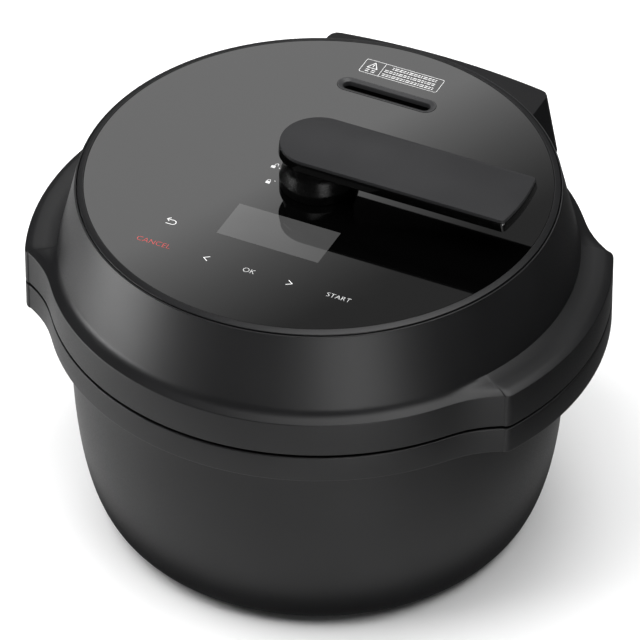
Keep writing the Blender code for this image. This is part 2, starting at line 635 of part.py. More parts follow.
def lid_outside():
    seat_z = GLASS_Z - BEZEL_H - GAP
    ledge_r = GLASS_R - 0.0045
    under_z = seat_z - 0.0025
    shell = turned("lid_shell", [(LIP_R, LIP_Z), *SHOULDER,
        (FLANGE_R - 0.0006, LID_TOP + 0.0003), (FLANGE_R - 0.0006, LID_TOP - 0.0015),
        (SHOULDER[-1][0] - SHELL_LID_T, LID_TOP - 0.0015),
        (SHOULDER[0][0] - SHELL_LID_T, SHOULDER[0][1]),
        (shoulder_radius(under_z) - SHELL_LID_T, under_z), (ledge_r, under_z), (ledge_r, seat_z),
        (BEZEL_R + GAP, seat_z), (BEZEL_R + GAP, LIP_Z)], SEGMENTS)
    hole_r = SHOULDER[-1][0] - SHELL_LID_T + 0.0005
    flange = plate("flange", grip_outline(), LID_Z, LID_TOP, [circle(hole_r, SEGMENTS)])
    hollow = plate("cut_flange", grip_outline(RIM_WALL), LID_Z - 0.002, LID_TOP - RIM_WALL)
    opening = box("cut_bracket_way", (-BRACKET_X - 0.009, 0.6 * FLANGE_R, FRAME_Z + FRAME_T - 0.0008),
                  (BRACKET_X + 0.009, REAR_Y, FRAME_Z + FRAME_T + 0.009))
    combine(shell, [flange], "UNION")
    finish(combine(shell, [hollow, opening]), "matte", LID)

    bezel = turned("top_bezel", [
        (BEZEL_R - BEZEL_W, GLASS_Z + GAP), (BEZEL_R - 0.0013, GLASS_Z + GAP), (BEZEL_R, GLASS_Z - 0.001),
        (BEZEL_R, GLASS_Z - BEZEL_H), (GLASS_R - 0.0045, GLASS_Z - BEZEL_H),
        (GLASS_R - 0.0045, GLASS_Z - GLASS_T - GAP), (BEZEL_R - BEZEL_W, GLASS_Z - GLASS_T - GAP)],
        SEGMENTS)
    finish(bezel, "matte", LID)

    hole = circle(SPINDLE_R + GAP + BUSH_T + 0.0006, 24)
    slot = slot_outline(SLOT_HALF + GAP, SLOT_R + GAP, SLOT_Y)
    glass = plate("glass_panel", circle(GLASS_R, SEGMENTS), GLASS_Z - GLASS_T, GLASS_Z, [hole, slot])
    finish(glass, "glass", LID)

    frame = plate("vent_frame", slot_outline(SLOT_HALF, SLOT_R, SLOT_Y), GLASS_Z - GLASS_T - 0.001,
                  GLASS_Z + 0.0006, [slot_outline(SLOT_HALF - 0.0036, SLOT_R - 0.0024, SLOT_Y)])
    finish(frame, "matte", LID)
    duct_top = GLASS_Z - GLASS_T - 0.001 - GAP
    duct = plate("vent_duct", slot_outline(SLOT_HALF + 0.001, SLOT_R + 0.0023, SLOT_Y),
                 FRAME_Z + FRAME_T + GAP, duct_top,
                 [slot_outline(SLOT_HALF - 0.001, SLOT_R + 0.0003, SLOT_Y)])
    finish(duct, "matte", LID)

    under = GLASS_Z - GLASS_T - GAP
    finish(box("display_module", (-DISPLAY_X - 0.0015, DISPLAY_NEAR - 0.0015, under - 0.006),
               (DISPLAY_X + 0.0015, DISPLAY_FAR + 0.0015, under)), "gloss", LID)
    finish(box("touch_board", (-0.085, DISPLAY_NEAR - 0.037, under - 0.002),
               (0.085, DISPLAY_NEAR - 0.010, under)), "board", LID)

    ring = plate("lid_base_ring", grip_outline(RIM_WALL + GAP), LID_Z + 0.0005, LID_Z + 0.003,
                 [circle(RIM_HOLE_R, SEGMENTS)])
    finish(ring, "matte", LID)


def lid_frame_pieces():
    top = FRAME_Z + FRAME_T
    frame_r = shoulder_radius(max(top, SHOULDER[0][1])) - SHELL_LID_T - 0.0008
    bush_hole = circle(SPINDLE_R + GAP + BUSH_T + GAP, 24)
    valve_hole = circle(0.012, 20, (0.0, SLOT_Y))
    frame = plate("lid_frame", circle(frame_r), FRAME_Z, top, [bush_hole, valve_hole])
    post_low, post_high = PRESSURE_Z + PRESSURE_T + GAP, FRAME_Z + 0.001
    posts = [rod("post_%d" % i, (*polar(POST_PITCH_R, angle), (post_low + post_high) / 2), 0.006,
                 post_high - post_low) for i, angle in enumerate((66.0, 170.0, 260.0, 350.0))]
    finish(combine(frame, posts, "UNION"), "matte", LID)

    bush_in, bush_out = SPINDLE_R + GAP, SPINDLE_R + GAP + BUSH_T
    bush = turned("spindle_bush", [
        (bush_out, GLASS_Z - 0.0004), (bush_out, top + 0.0023), (bush_out + 0.0035, top + 0.0023),
        (bush_out + 0.0035, top + GAP), (bush_out, top + GAP), (bush_out, FRAME_Z - 0.001),
        (bush_in, FRAME_Z - 0.001), (bush_in, GLASS_Z - 0.0004)], 24)
    finish(bush, "brass", LID)
    coil = box("vent_solenoid", (0.040, SLOT_Y - 0.019, top + GAP), (0.062, SLOT_Y + 0.002, top + 0.019))
    plunger = rod("solenoid_plunger", (0.040, SLOT_Y - 0.008, top + 0.010), 0.003, 0.009, "X")
    finish(combine(coil, [plunger], "UNION"), "brass", LID)


def pressure_pieces():
    top = PRESSURE_Z + PRESSURE_T
    skirt_in = POT_RIM_R + 0.0008
    skirt_out = skirt_in + SKIRT_T
    float_x, float_y = polar(FLOAT_PITCH_R, FLOAT_ANGLE)

    def passages(name, low, high, extra=()):
        middle, height = (low + high) / 2, high - low + 0.01
        return [rod("cut_pipe_" + name, (0.0, SLOT_Y, middle), VALVE_R + GAP, height),
                rod("cut_float_" + name, (float_x, float_y, middle), FLOAT_R + 0.0004, height),
                *extra]

    lid = turned("pressure_lid", [(0.0, top), (skirt_out, top), (skirt_out, SEAT_Z), (skirt_in, SEAT_Z),
                                  (skirt_in, PRESSURE_Z), (0.0, PRESSURE_Z)])
    finish(combine(lid, passages("lid", PRESSURE_Z, top)), "steel", LID)

    seal_out, seal_in = skirt_in - GAP, skirt_in - GAP - SEAL_W
    seal = turned("seal_ring", [
        (seal_out, SEAT_Z + 0.010), (seal_out, SEAT_Z), (seal_in + 0.002, SEAT_Z),
        (seal_in, SEAT_Z + 0.002), (seal_in, SEAT_Z + 0.010)])
    finish(seal, "silicone", LID)

    low, high = SEAT_Z + 0.0065, SEAT_Z + 0.008
    stud_r = 0.005
    plate_r = seal_in - GAP
    inner = turned("inner_lid", [(stud_r + GAP, high), (plate_r, high), (plate_r, low), (stud_r + GAP, low)])
    finish(combine(inner, passages("inner", low, high)), "steel", LID)
    knob = turned("inner_lid_knob", [
        (0.0, PRESSURE_Z - GAP), (stud_r, PRESSURE_Z - GAP), (stud_r, low - GAP), (0.013, low - GAP),
        (0.011, low - 0.009), (0.0, low - 0.009)], 24)
    finish(knob, "matte", LID)

    pipe_top, bore = top + 0.0065, 0.00125
    pipe = turned("exhaust_pipe", [
        (VALVE_R, pipe_top), (VALVE_R, top + 0.0022), (0.007, top + 0.0022), (0.007, top + GAP),
        (VALVE_R, top + GAP), (VALVE_R, low - 0.003), (bore, low - 0.003), (bore, pipe_top)], 20)
    finish(pipe, "steel", LID, (0.0, SLOT_Y, 0.0))
    cup_out, cup_low, cup_high = 0.012, low - 0.009, low - GAP
    shield = turned("anti_block_shield", [
        (0.0, cup_low + 0.001), (cup_out - 0.001, cup_low + 0.001), (cup_out - 0.001, cup_high),
        (cup_out, cup_high), (cup_out, cup_low), (0.0, cup_low)], 24)
    middle = (cup_low + cup_high) / 2
    slit_low, slit_high, slit_half, through = middle - 0.0022, middle + 0.0022, 0.0015, 0.02
    slits = [box("cut_slit_x", (-through, SLOT_Y - slit_half, slit_low),
                 (through, SLOT_Y + slit_half, slit_high)),
             box("cut_slit_y", (-slit_half, SLOT_Y - through, slit_low),
                 (slit_half, SLOT_Y + through, slit_high))]
    finish(combine(shield, slits), "steel", LID, (0.0, SLOT_Y, 0.0))

    valve = carrier("valve_axis", (0.0, SLOT_Y, top), LID)
    weight_low = top + 0.0022 + GAP
    weight = turned("steam_weight", [
        (0.0, weight_low + 0.013), (0.007, weight_low + 0.013), (0.009, weight_low + 0.009),
        (0.009, weight_low), (VALVE_R + 0.0006, weight_low), (VALVE_R + 0.0006, pipe_top + GAP),
        (0.0, pipe_top + GAP)], 24)
    finish(weight, "steel", valve, (0.0, SLOT_Y, 0.0))

    lift = carrier("float_axis", (float_x, float_y, top), LID)
    head, washer = top + GAP, low - 0.003
    pin = turned("float_pin", [
        (0.0, head + 0.003), (0.005, head + 0.003), (0.005, head), (FLOAT_R, head), (FLOAT_R, washer),
        (0.005, washer), (0.005, washer - 0.0015), (0.0, washer - 0.0015)], 20)
    finish(pin, "steel", lift, (float_x, float_y, 0.0))


# Lock: handle, spindle and locking ring --------------------------------------------------------------
def handle_outline(inset=0.0):
    """Round about the spindle, straight sides, and a far end that follows the glass."""
    half, reach, corner = HANDLE_HALF - inset, GLASS_R - HANDLE_END_IN - inset, 0.0045
    near = [polar(half, 90 + 180 * i / 16) for i in range(17)]
    end_angle = math.degrees(math.asin((half - corner) / reach))
    end = [polar(reach, -end_angle + 2 * end_angle * i / 6) for i in range(7)]
    tip_x = end[0][0]
    turn = [(tip_x - corner + x, half - corner + y) for x, y in (polar(corner, 30), polar(corner, 60),
                                                                polar(corner, 90))]
    return near + [(x, -y) for x, y in reversed(turn)] + end + turn


def lock_pieces():
    hub_top = GLASS_Z + HUB_H
    bore_r, screw_r = SPINDLE_R + GAP, 0.0025
    hub = turned("handle_hub", [
        (HUB_NECK_R, hub_top), (HUB_NECK_R, GLASS_Z + 0.015), (HUB_R - 0.0008, GLASS_Z + 0.0075),
        (HUB_R, GLASS_Z + GAP), (bore_r, GLASS_Z + GAP), (bore_r, SPINDLE_TOP + GAP),
        (screw_r + GAP, SPINDLE_TOP + GAP), (screw_r + GAP, hub_top)], 32)
    finish(hub, "gloss", LOCK)

    arm = plate("handle_arm", handle_outline(), HANDLE_Z, HANDLE_TOP - HANDLE_SKIN - GAP)
    neck_low, neck_high = hub_top + GAP, HANDLE_Z + 0.001
    neck = rod("handle_neck", (0.0, 0.0, (neck_low + neck_high) / 2), HUB_NECK_R, neck_high - neck_low,
               segments=32)
    seat = HANDLE_Z + 0.001
    head_r = 0.005
    sink = rod("cut_sink", (0.0, 0.0, seat + 0.01), head_r + GAP, 0.02)
    bore = rod("cut_shank", (0.0, 0.0, seat), screw_r + GAP, 0.03)
    combine(arm, [neck], "UNION")
    finish(combine(arm, [sink, bore]), "gloss", LOCK)
    cover = plate("handle_cover", handle_outline(0.0004), HANDLE_TOP - HANDLE_SKIN, HANDLE_TOP)
    finish(cover, "satin", LOCK)
    screw = turned("handle_screw", [
        (0.0, seat + 0.0035), (head_r, seat + 0.0035), (head_r, seat + GAP), (screw_r, seat + GAP),
        (screw_r, SPINDLE_TOP + GAP), (0.0, SPINDLE_TOP + GAP)], 16)
    finish(screw, "steel", LOCK)

    drive_top = DRIVE_Z + LOCK_T
    spindle = rod("spindle", (0.0, 0.0, (drive_top + GAP + SPINDLE_TOP) / 2), SPINDLE_R,
                  SPINDLE_TOP - drive_top - GAP, segments=24)
    finish(spindle, "steel", LOCK)
    arm_tip, arm_root, arm_half = LUG_RING_R + 0.005, 0.016, 0.008
    star = []
    for i in range(4):
        angle = math.radians(22.5 + 90 * i)
        for along, across in ((arm_root, -arm_half), (arm_tip, -arm_half), (arm_tip, arm_half),
                              (arm_root, arm_half)):
            star.append((along * math.cos(angle) - across * math.sin(angle),
                         along * math.sin(angle) + across * math.cos(angle)))
    finish(plate("drive_plate", star, DRIVE_Z, drive_top), "steel", LOCK)

    tab_top, tab_low = LUG_Z - 0.0015, LUG_Z - 0.006
    flange_in = POT_RIM_R - 0.009
    ring = turned("lock_ring", [
        (LOCK_OUT_R, LOCK_TOP_Z + LOCK_T), (LOCK_OUT_R, tab_low), (LOCK_R, tab_low),
        (LOCK_R, LOCK_TOP_Z), (flange_in, LOCK_TOP_Z), (flange_in, LOCK_TOP_Z + LOCK_T)], SEGMENTS)
    tabs = [ring_sector("tab_%d" % i, TAB_R, LOCK_R + 0.001, 360 / LOCK_COUNT * i, TAB_SPAN,
                        tab_low + 0.0001, tab_top) for i in range(LOCK_COUNT)]
    finish(combine(ring, tabs, "UNION"), "steel", LOCK)


shell_pieces()
feet_and_screws()
cooking_pieces()
heating_pieces()
electric_pieces()
hinge_pieces()
rear_cover()
lid_outside()
lid_frame_pieces()
pressure_pieces()
lock_pieces()
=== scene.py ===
import math

import bmesh
import bpy
from mathutils import Matrix, Vector


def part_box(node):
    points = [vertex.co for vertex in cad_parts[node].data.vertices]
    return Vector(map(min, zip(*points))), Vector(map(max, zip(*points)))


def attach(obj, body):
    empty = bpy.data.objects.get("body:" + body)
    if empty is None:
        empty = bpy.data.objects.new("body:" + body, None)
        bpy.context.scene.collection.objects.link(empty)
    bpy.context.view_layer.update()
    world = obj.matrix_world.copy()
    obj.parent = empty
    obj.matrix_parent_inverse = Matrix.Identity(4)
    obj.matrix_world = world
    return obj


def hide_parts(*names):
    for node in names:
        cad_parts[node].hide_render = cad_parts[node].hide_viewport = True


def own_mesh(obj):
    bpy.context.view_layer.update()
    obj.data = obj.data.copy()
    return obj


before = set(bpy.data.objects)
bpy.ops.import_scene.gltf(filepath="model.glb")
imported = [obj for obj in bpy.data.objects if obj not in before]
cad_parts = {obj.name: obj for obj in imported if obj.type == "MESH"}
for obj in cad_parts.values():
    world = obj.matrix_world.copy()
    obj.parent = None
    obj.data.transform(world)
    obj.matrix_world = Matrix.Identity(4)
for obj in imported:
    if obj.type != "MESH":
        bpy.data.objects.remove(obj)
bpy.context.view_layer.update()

# Studio: a pale floor, a camera at the front right looking down, and soft lights round it.
# The cooker's axis is read off the glass, and the camera is aimed a little below it.

glass_low, glass_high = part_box("glass_panel")
AXIS = (glass_low + glass_high) / 2
GLASS_Z = glass_high.z
bpy.context.scene.view_settings.view_transform = "Standard"


def lit(code, alpha=1.0):
    """A display colour, such as "3a3a3c", in the linear values that a shader takes."""
    channels = [int(code[i:i + 2], 16) / 255 for i in (0, 2, 4)]
    return (*[c / 12.92 if c <= 0.04045 else ((c + 0.055) / 1.055) ** 2.4 for c in channels], alpha)


def add(tree, kind, inputs=(), **settings):
    """Adds a node with its settings; an input takes a value or another node's output."""
    node = tree.nodes.new(kind)
    for name, value in settings.items():
        setattr(node, name, value)
    for name, value in dict(inputs).items():
        if isinstance(value, bpy.types.NodeSocket):
            tree.links.new(value, node.inputs[name])
        else:
            node.inputs[name].default_value = value
    return node


def stage_sheet(name, size, place, turn=(0.0, 0.0, 0.0)):
    """A flat square of the studio, not part of the cooker."""
    work = bmesh.new()
    bmesh.ops.create_grid(work, x_segments=1, y_segments=1, size=size / 2)
    mesh = bpy.data.meshes.new(name)
    work.to_mesh(mesh)
    work.free()
    sheet = bpy.data.objects.new(name, mesh)
    bpy.context.scene.collection.objects.link(sheet)
    sheet.location = place
    sheet.rotation_euler = turn
    return sheet


floor = stage_sheet("studio_floor", 24.0, (0.0, 0.0, 0.0))
floor_paint = bpy.data.materials.new("pale matt floor")
floor_paint.use_nodes = True
shader = floor_paint.node_tree.nodes["Principled BSDF"]
shader.inputs["Base Color"].default_value = lit("fafafa")
shader.inputs["Roughness"].default_value = 0.9
shader.inputs["Specular IOR Level"].default_value = 0.1
floor.data.materials.append(floor_paint)
floor.visible_glossy = False

AZIMUTH, ELEVATION, DISTANCE, LENS = math.radians(25.61), math.radians(37.76), 4.726, 429.9
toward = Vector((math.sin(AZIMUTH) * math.cos(ELEVATION), -math.cos(AZIMUTH) * math.cos(ELEVATION),
                 math.sin(ELEVATION)))
rim_centre = Vector((AXIS.x, AXIS.y, GLASS_Z))
aim = Vector((AXIS.x + 0.0006, AXIS.y + 0.0003, GLASS_Z - 0.1099))
camera_data = bpy.data.cameras.new("camera")
camera_data.lens = LENS
camera_data.clip_end = 50.0
camera = bpy.data.objects.new("camera", camera_data)
bpy.context.scene.collection.objects.link(camera)
camera.location = rim_centre + toward * DISTANCE
camera.rotation_euler = (aim - camera.location).to_track_quat("-Z", "Y").to_euler()
bpy.context.scene.camera = camera


def soft_light(name, place, power, width, height, target=(0.0, 0.0, 0.12), in_reflections=True):
    """A rectangular soft box aimed at the cooker."""
    data = bpy.data.lights.new(name, "AREA")
    data.shape = "RECTANGLE"
    data.size, data.size_y = width, height
    data.energy = power
    light = bpy.data.objects.new(name, data)
    light.location = place
    light.rotation_euler = (Vector(target) - Vector(place)).to_track_quat("-Z", "Y").to_euler()
    light.visible_camera = False
    light.visible_glossy = in_reflections
    bpy.context.scene.collection.objects.link(light)


OVERHEAD_SIDE, OVERHEAD_GLOW = 2.8, 4.7
soft_light("overhead", (0.9, 0.0, 3.2), OVERHEAD_GLOW * math.pi * OVERHEAD_SIDE ** 2, OVERHEAD_SIDE,
           OVERHEAD_SIDE, (0.0, 0.0, 0.1))
soft_light("floor wash", (-1.4, -0.6, 2.4), 90.0, 2.4, 2.4, (-0.2, -0.1, 0.0), in_reflections=False)


def glowing_paint(name):
    """A paint with its tree emptied, for a sheet that only gives light."""
    paint = bpy.data.materials.new(name)
    paint.use_nodes = True
    paint.node_tree.nodes.clear()
    paint.cycles.emission_sampling = "NONE"
    return paint, paint.node_tree


def glowing_card(name, bearing, distance, low, high, width, strength):
    """An upright glowing sheet that only reflections see, at a bearing round the cooker in degrees."""
    out = Vector((math.cos(math.radians(bearing)), math.sin(math.radians(bearing)), 0.0))
    sheet = stage_sheet(name, 1.0, (0.0, 0.0, 0.0))
    side = Vector((-out.y, out.x, 0.0))
    axes = Matrix((side * width, Vector((0.0, 0.0, high - low)), out)).transposed().to_4x4()
    sheet.matrix_world = Matrix.Translation(out * distance + Vector((0.0, 0.0, (low + high) / 2))) @ axes
    paint, tree = glowing_paint(name)
    parts = add(tree, "ShaderNodeSeparateXYZ", {"Vector": add(tree, "ShaderNodeTexCoord").outputs["Object"]})
    out_from_middle = add(tree, "ShaderNodeMath", {0: parts.outputs["X"]}, operation="ABSOLUTE")
    soft = add(tree, "ShaderNodeMapRange", {"Value": out_from_middle.outputs[0], "From Min": 0.5,
                                            "From Max": 0.15, "To Min": 0.0, "To Max": strength},
               interpolation_type="SMOOTHSTEP")
    glow = add(tree, "ShaderNodeEmission", {"Strength": soft.outputs["Result"]})
    add(tree, "ShaderNodeOutputMaterial", {"Surface": glow.outputs["Emission"]})
    sheet.data.materials.append(paint)
    sheet.visible_camera = sheet.visible_diffuse = sheet.visible_shadow = False


FADE_START, FADE_END = 0.06, 0.32


def mirrored_floor(name, near, far, left_glow, right_glow):
    """A round band of floor that only reflections see, fading from the camera's left to its right."""
    sheet = stage_sheet(name, 1.0, (0.0, 0.0, 0.0002))
    work = bmesh.new()
    bmesh.ops.create_circle(work, segments=96, radius=near)
    bmesh.ops.create_circle(work, segments=96, radius=far)
    bmesh.ops.bridge_loops(work, edges=work.edges[:])
    work.to_mesh(sheet.data)
    work.free()
    paint, tree = glowing_paint(name)
    place = add(tree, "ShaderNodeTexCoord").outputs["Object"]
    rightward = add(tree, "ShaderNodeVectorMath", {0: place, 1: (math.cos(AZIMUTH), math.sin(AZIMUTH), 0.0)},
                    operation="DOT_PRODUCT")
    fade = add(tree, "ShaderNodeMapRange", {"Value": rightward.outputs["Value"], "From Min": FADE_START,
                                            "From Max": FADE_END, "To Min": left_glow,
                                            "To Max": right_glow})
    light = add(tree, "ShaderNodeEmission", {"Strength": fade.outputs["Result"]})
    add(tree, "ShaderNodeOutputMaterial", {"Surface": light.outputs["Emission"]})
    sheet.data.materials.append(paint)
    sheet.visible_camera = sheet.visible_diffuse = sheet.visible_shadow = False


mirrored_floor("floor_band", 0.172, 0.75, 0.92, 0.05)
glowing_card("left_card", 207.0, 2.0, -0.85, 0.30, 1.75, 11.5)
glowing_card("front_card", 309.0, 2.0, -0.75, 0.25, 1.3, 8.0)

# A graded card stands where the glass mirrors it: bright on the left, falling away to the right.
CARD_AWAY, CARD_SIZE = 2.5, 1.7
mirrored = Vector((-toward.x, -toward.y, toward.z))
card_right = Vector((math.cos(AZIMUTH), math.sin(AZIMUTH), 0.0))
card_up = Vector((toward.x, toward.y, -toward.z)).cross(card_right) * -1
fall = (card_right * 0.447 - card_up * 0.894).normalized()
across = mirrored.cross(fall)
card = stage_sheet("graded_card", CARD_SIZE, (0.0, 0.0, 0.0))
card.matrix_world = Matrix.Translation(rim_centre + mirrored * CARD_AWAY) @ Matrix(
    (fall, across, mirrored)).transposed().to_4x4()
card_paint = bpy.data.materials.new("graded card")
card_paint.use_nodes = True
tree = card_paint.node_tree
tree.nodes.clear()
along = add(tree, "ShaderNodeSeparateXYZ", {"Vector": add(tree, "ShaderNodeTexCoord").outputs["Object"]})
BRIGHT_END, DIM_END = -0.0246, 0.1106
share = add(tree, "ShaderNodeMapRange", {"Value": along.outputs["X"], "From Min": BRIGHT_END,
                                         "From Max": DIM_END})
grade = add(tree, "ShaderNodeValToRGB", {"Fac": share.outputs["Result"]})
ramp = grade.color_ramp
for spot, code in ((0.25, "d8d8d8"), (0.5, "b1b1b1"), (0.75, "8e8e8e")):
    ramp.elements.new(spot).color = lit(code)
ramp.elements[0].color, ramp.elements[-1].color = lit("ffffff"), lit("6a6a6a")
glow = add(tree, "ShaderNodeEmission", {"Color": grade.outputs["Color"], "Strength": 2.26})
add(tree, "ShaderNodeOutputMaterial", {"Surface": glow.outputs["Emission"]})
card.data.materials.append(card_paint)
card.visible_camera = card.visible_shadow = False

world = bpy.data.worlds.new("studio")
world.use_nodes = True
tree = world.node_tree
seen = add(tree, "ShaderNodeLightPath").outputs["Is Camera Ray"]
tone = add(tree, "ShaderNodeMix", {"Factor": seen, "A": 0.06, "B": 0.9}, data_type="FLOAT")
tree.nodes["Background"].inputs["Color"].default_value = lit("f8f9fa")
tree.links.new(tone.outputs["Result"], tree.nodes["Background"].inputs["Strength"])
bpy.context.scene.world = world

# Feet and base cover: four rubber pads pressed into a flat moulded cover with vent slits.
# The cover is glass-filled PP with four pan-head steel screws in its corners.


def new_finish(name, base, roughness, metallic=0.0, ior=1.5):
    """A named material whose even values sit on the shader itself."""
    finish = bpy.data.materials.new(name)
    finish.use_nodes = True
    principled = finish.node_tree.nodes["Principled BSDF"]
    principled.inputs["Base Color"].default_value = lit(base)
    principled.inputs["Roughness"].default_value = roughness
    principled.inputs["Metallic"].default_value = metallic
    principled.inputs["IOR"].default_value = ior
    return finish, finish.node_tree, principled


def grained(name, base, lighter, roughness, grain_mm, depth_mm, spread=0.05, metallic=0.0, ior=1.5,
            specular=0.5):
    """A moulded or cast surface: a fine even grain in relief, with faint drift in tone and gloss."""
    finish, tree, principled = new_finish(name, base, roughness, metallic, ior)
    principled.inputs["Specular IOR Level"].default_value = specular
    place = add(tree, "ShaderNodeTexCoord").outputs["Object"]
    grain = add(tree, "ShaderNodeTexNoise", {"Vector": place, "Scale": 1000 / grain_mm, "Detail": 2.0,
                                             "Roughness": 0.6})
    drift = add(tree, "ShaderNodeTexNoise", {"Vector": place, "Scale": 1000 / 45.0, "Detail": 1.0})
    blend = add(tree, "ShaderNodeMath", {0: grain.outputs["Fac"], 1: drift.outputs["Fac"]},
                operation="MULTIPLY")
    tone = add(tree, "ShaderNodeValToRGB", {"Fac": blend.outputs[0]})
    tone.color_ramp.elements[0].position, tone.color_ramp.elements[0].color = 0.12, lit(base)
    tone.color_ramp.elements[1].position, tone.color_ramp.elements[1].color = 0.42, lit(lighter)
    gloss = add(tree, "ShaderNodeMapRange", {"Value": grain.outputs["Fac"], "From Min": 0.3,
                                             "From Max": 0.7, "To Min": roughness - spread,
                                             "To Max": roughness + spread})
    relief = add(tree, "ShaderNodeBump", {"Height": grain.outputs["Fac"], "Strength": 1.0,
                                          "Distance": depth_mm / 1000})
    tree.links.new(tone.outputs["Color"], principled.inputs["Base Color"])
    tree.links.new(gloss.outputs["Result"], principled.inputs["Roughness"])
    tree.links.new(relief.outputs["Normal"], principled.inputs["Normal"])
    return finish


# Moulded polypropylene and rubber: dull and slightly uneven, with no clear highlight.
base_plastic = grained("moulded black polypropylene", "141414", "1e1e1e", 0.6, 1.2, 0.02)
foot_rubber = grained("moulded foot rubber", "101010", "1a1a1a", 0.8, 0.8, 0.02)


def brushed(name, base, roughness, pitch_mm, stretch=None):
    """Metal with fine scratches: stretched noise, or rings round the pot's axis."""
    finish, tree, principled = new_finish(name, base, roughness, 1.0)
    place = add(tree, "ShaderNodeTexCoord").outputs["Object"]
    if stretch is None:
        centred = add(tree, "ShaderNodeMapping", {"Vector": place, "Location": (-AXIS.x, -AXIS.y, 0.0)})
        parts = add(tree, "ShaderNodeSeparateXYZ", {"Vector": centred.outputs[0]})
        flat = add(tree, "ShaderNodeCombineXYZ", {"X": parts.outputs["X"], "Y": parts.outputs["Y"]})
        radius = add(tree, "ShaderNodeVectorMath", {0: flat.outputs[0]}, operation="LENGTH")
        across = add(tree, "ShaderNodeMath", {0: radius.outputs["Value"], 1: parts.outputs["Z"]},
                     operation="ADD")
        line = add(tree, "ShaderNodeCombineXYZ", {"X": across.outputs[0]})
        scratch = add(tree, "ShaderNodeTexNoise", {"Vector": line.outputs[0], "Scale": 1000 / pitch_mm,
                                                   "Detail": 3.0})
    else:
        pulled = add(tree, "ShaderNodeMapping", {"Vector": place, "Scale": stretch})
        scratch = add(tree, "ShaderNodeTexNoise", {"Vector": pulled.outputs[0],
                                                   "Scale": 1000 / pitch_mm, "Detail": 3.0})
    gloss = add(tree, "ShaderNodeMapRange", {"Value": scratch.outputs["Fac"], "From Min": 0.3,
                                             "From Max": 0.7, "To Min": roughness - 0.07,
                                             "To Max": roughness + 0.09})
    relief = add(tree, "ShaderNodeBump", {"Height": scratch.outputs["Fac"], "Strength": 0.6,
                                          "Distance": 0.00001})
    tree.links.new(gloss.outputs["Result"], principled.inputs["Roughness"])
    tree.links.new(relief.outputs["Normal"], principled.inputs["Normal"])
    return finish


# Rolled steel: straight scratches along the sheet, which stretch its highlights.
plain_steel = brushed("rolled steel", "b4b4b6", 0.34, 0.7, (1, 9, 1))


def repaint(finish, *names):
    """Gives carried-over pieces their finish."""
    for name in names:
        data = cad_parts[name].data
        data.materials.clear()
        data.materials.append(finish)


repaint(foot_rubber, "foot_1", "foot_2", "foot_3", "foot_4")
repaint(base_plastic, "base_cover")
repaint(plain_steel, "base_screw_1", "base_screw_2", "base_screw_3", "base_screw_4")

# Outer shell: one deep injection-moulded bowl in textured black ABS, nearly upright above and
# drawn in to a round foot. The mains inlet looks out of a window in its back.
STEPS = 256
# Spark-eroded ABS breaks a highlight into a soft sheen. Its real grain is about 0.3 mm, and it is
# drawn at 0.9 mm so that it shows.
shell_plastic = grained("spark textured black ABS", "0d0d0e", "151516", 0.45, 0.9, 0.012, specular=0.35)


def soften(corners, steps=5, closed=True):
    """A profile from (radius, height, rounding) corners, each rounded to an arc."""
    points = []
    count = len(corners)
    for i, (r, z, size) in enumerate(corners):
        here = Vector((r, z))
        if size == 0 or (not closed and i in (0, count - 1)):
            points.append((r, z))
            continue
        back = Vector(corners[i - 1][:2]) - here
        ahead = Vector(corners[(i + 1) % count][:2]) - here
        reach = min(size / math.tan(back.angle(ahead) / 2), 0.48 * back.length, 0.48 * ahead.length)
        start, end = here + back.normalized() * reach, here + ahead.normalized() * reach
        for step in range(steps + 1):
            t = step / steps
            spot = start * (1 - t) ** 2 + here * 2 * t * (1 - t) + end * t ** 2
            points.append((spot.x, spot.y))
    return points


def turn_work(profile, steps=STEPS, closed=True, centre=None):
    """A bmesh spun about the pot's axis, or about another upright axis, from a profile."""
    work = bmesh.new()
    verts = [work.verts.new((r, 0.0, z)) for r, z in profile]
    edges = [work.edges.new(pair) for pair in zip(verts, verts[1:])]
    if closed:
        edges.append(work.edges.new((verts[-1], verts[0])))
    bmesh.ops.spin(work, geom=verts + edges, cent=(0, 0, 0), axis=(0, 0, 1), angle=math.tau,
                   steps=steps, use_merge=True)
    bmesh.ops.remove_doubles(work, verts=work.verts, dist=0.0000005)
    bmesh.ops.dissolve_degenerate(work, edges=work.edges, dist=0.0000005)
    x, y = centre or (AXIS.x, AXIS.y)
    bmesh.ops.translate(work, verts=work.verts, vec=(x, y, 0.0))
    bmesh.ops.recalc_face_normals(work, faces=work.faces)
    return work


def piece(name, work, finish, body, replaces=(), sharp=34.0):
    """Makes a finished piece of a bmesh, riding on its body."""
    mesh = bpy.data.meshes.new(name)
    work.to_mesh(mesh)
    work.free()
    mesh.shade_smooth()
    mesh.set_sharp_from_angle(angle=math.radians(sharp))
    mesh.materials.append(finish)
    made = bpy.data.objects.new(name, mesh)
    bpy.context.scene.collection.objects.link(made)
    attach(made, body)
    if replaces:
        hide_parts(*replaces)
    return made


def cut_away(made, tool_work, name):
    """Takes a bmesh's volume out of a piece."""
    mesh = bpy.data.meshes.new(name)
    tool_work.to_mesh(mesh)
    tool_work.free()
    tool = bpy.data.objects.new(name, mesh)
    bpy.context.scene.collection.objects.link(tool)
    cut = made.modifiers.new(name, "BOOLEAN")
    cut.operation, cut.solver, cut.object = "DIFFERENCE", "EXACT", tool
    bpy.context.view_layer.update()
    shape = made.evaluated_get(bpy.context.evaluated_depsgraph_get())
    result = bpy.data.meshes.new_from_object(shape)
    made.modifiers.clear()
    old, made.data = made.data, result
    bpy.data.meshes.remove(old)
    bpy.data.objects.remove(tool, do_unlink=True)
    made.data.shade_smooth()
    made.data.set_sharp_from_angle(angle=math.radians(34.0))
    return made


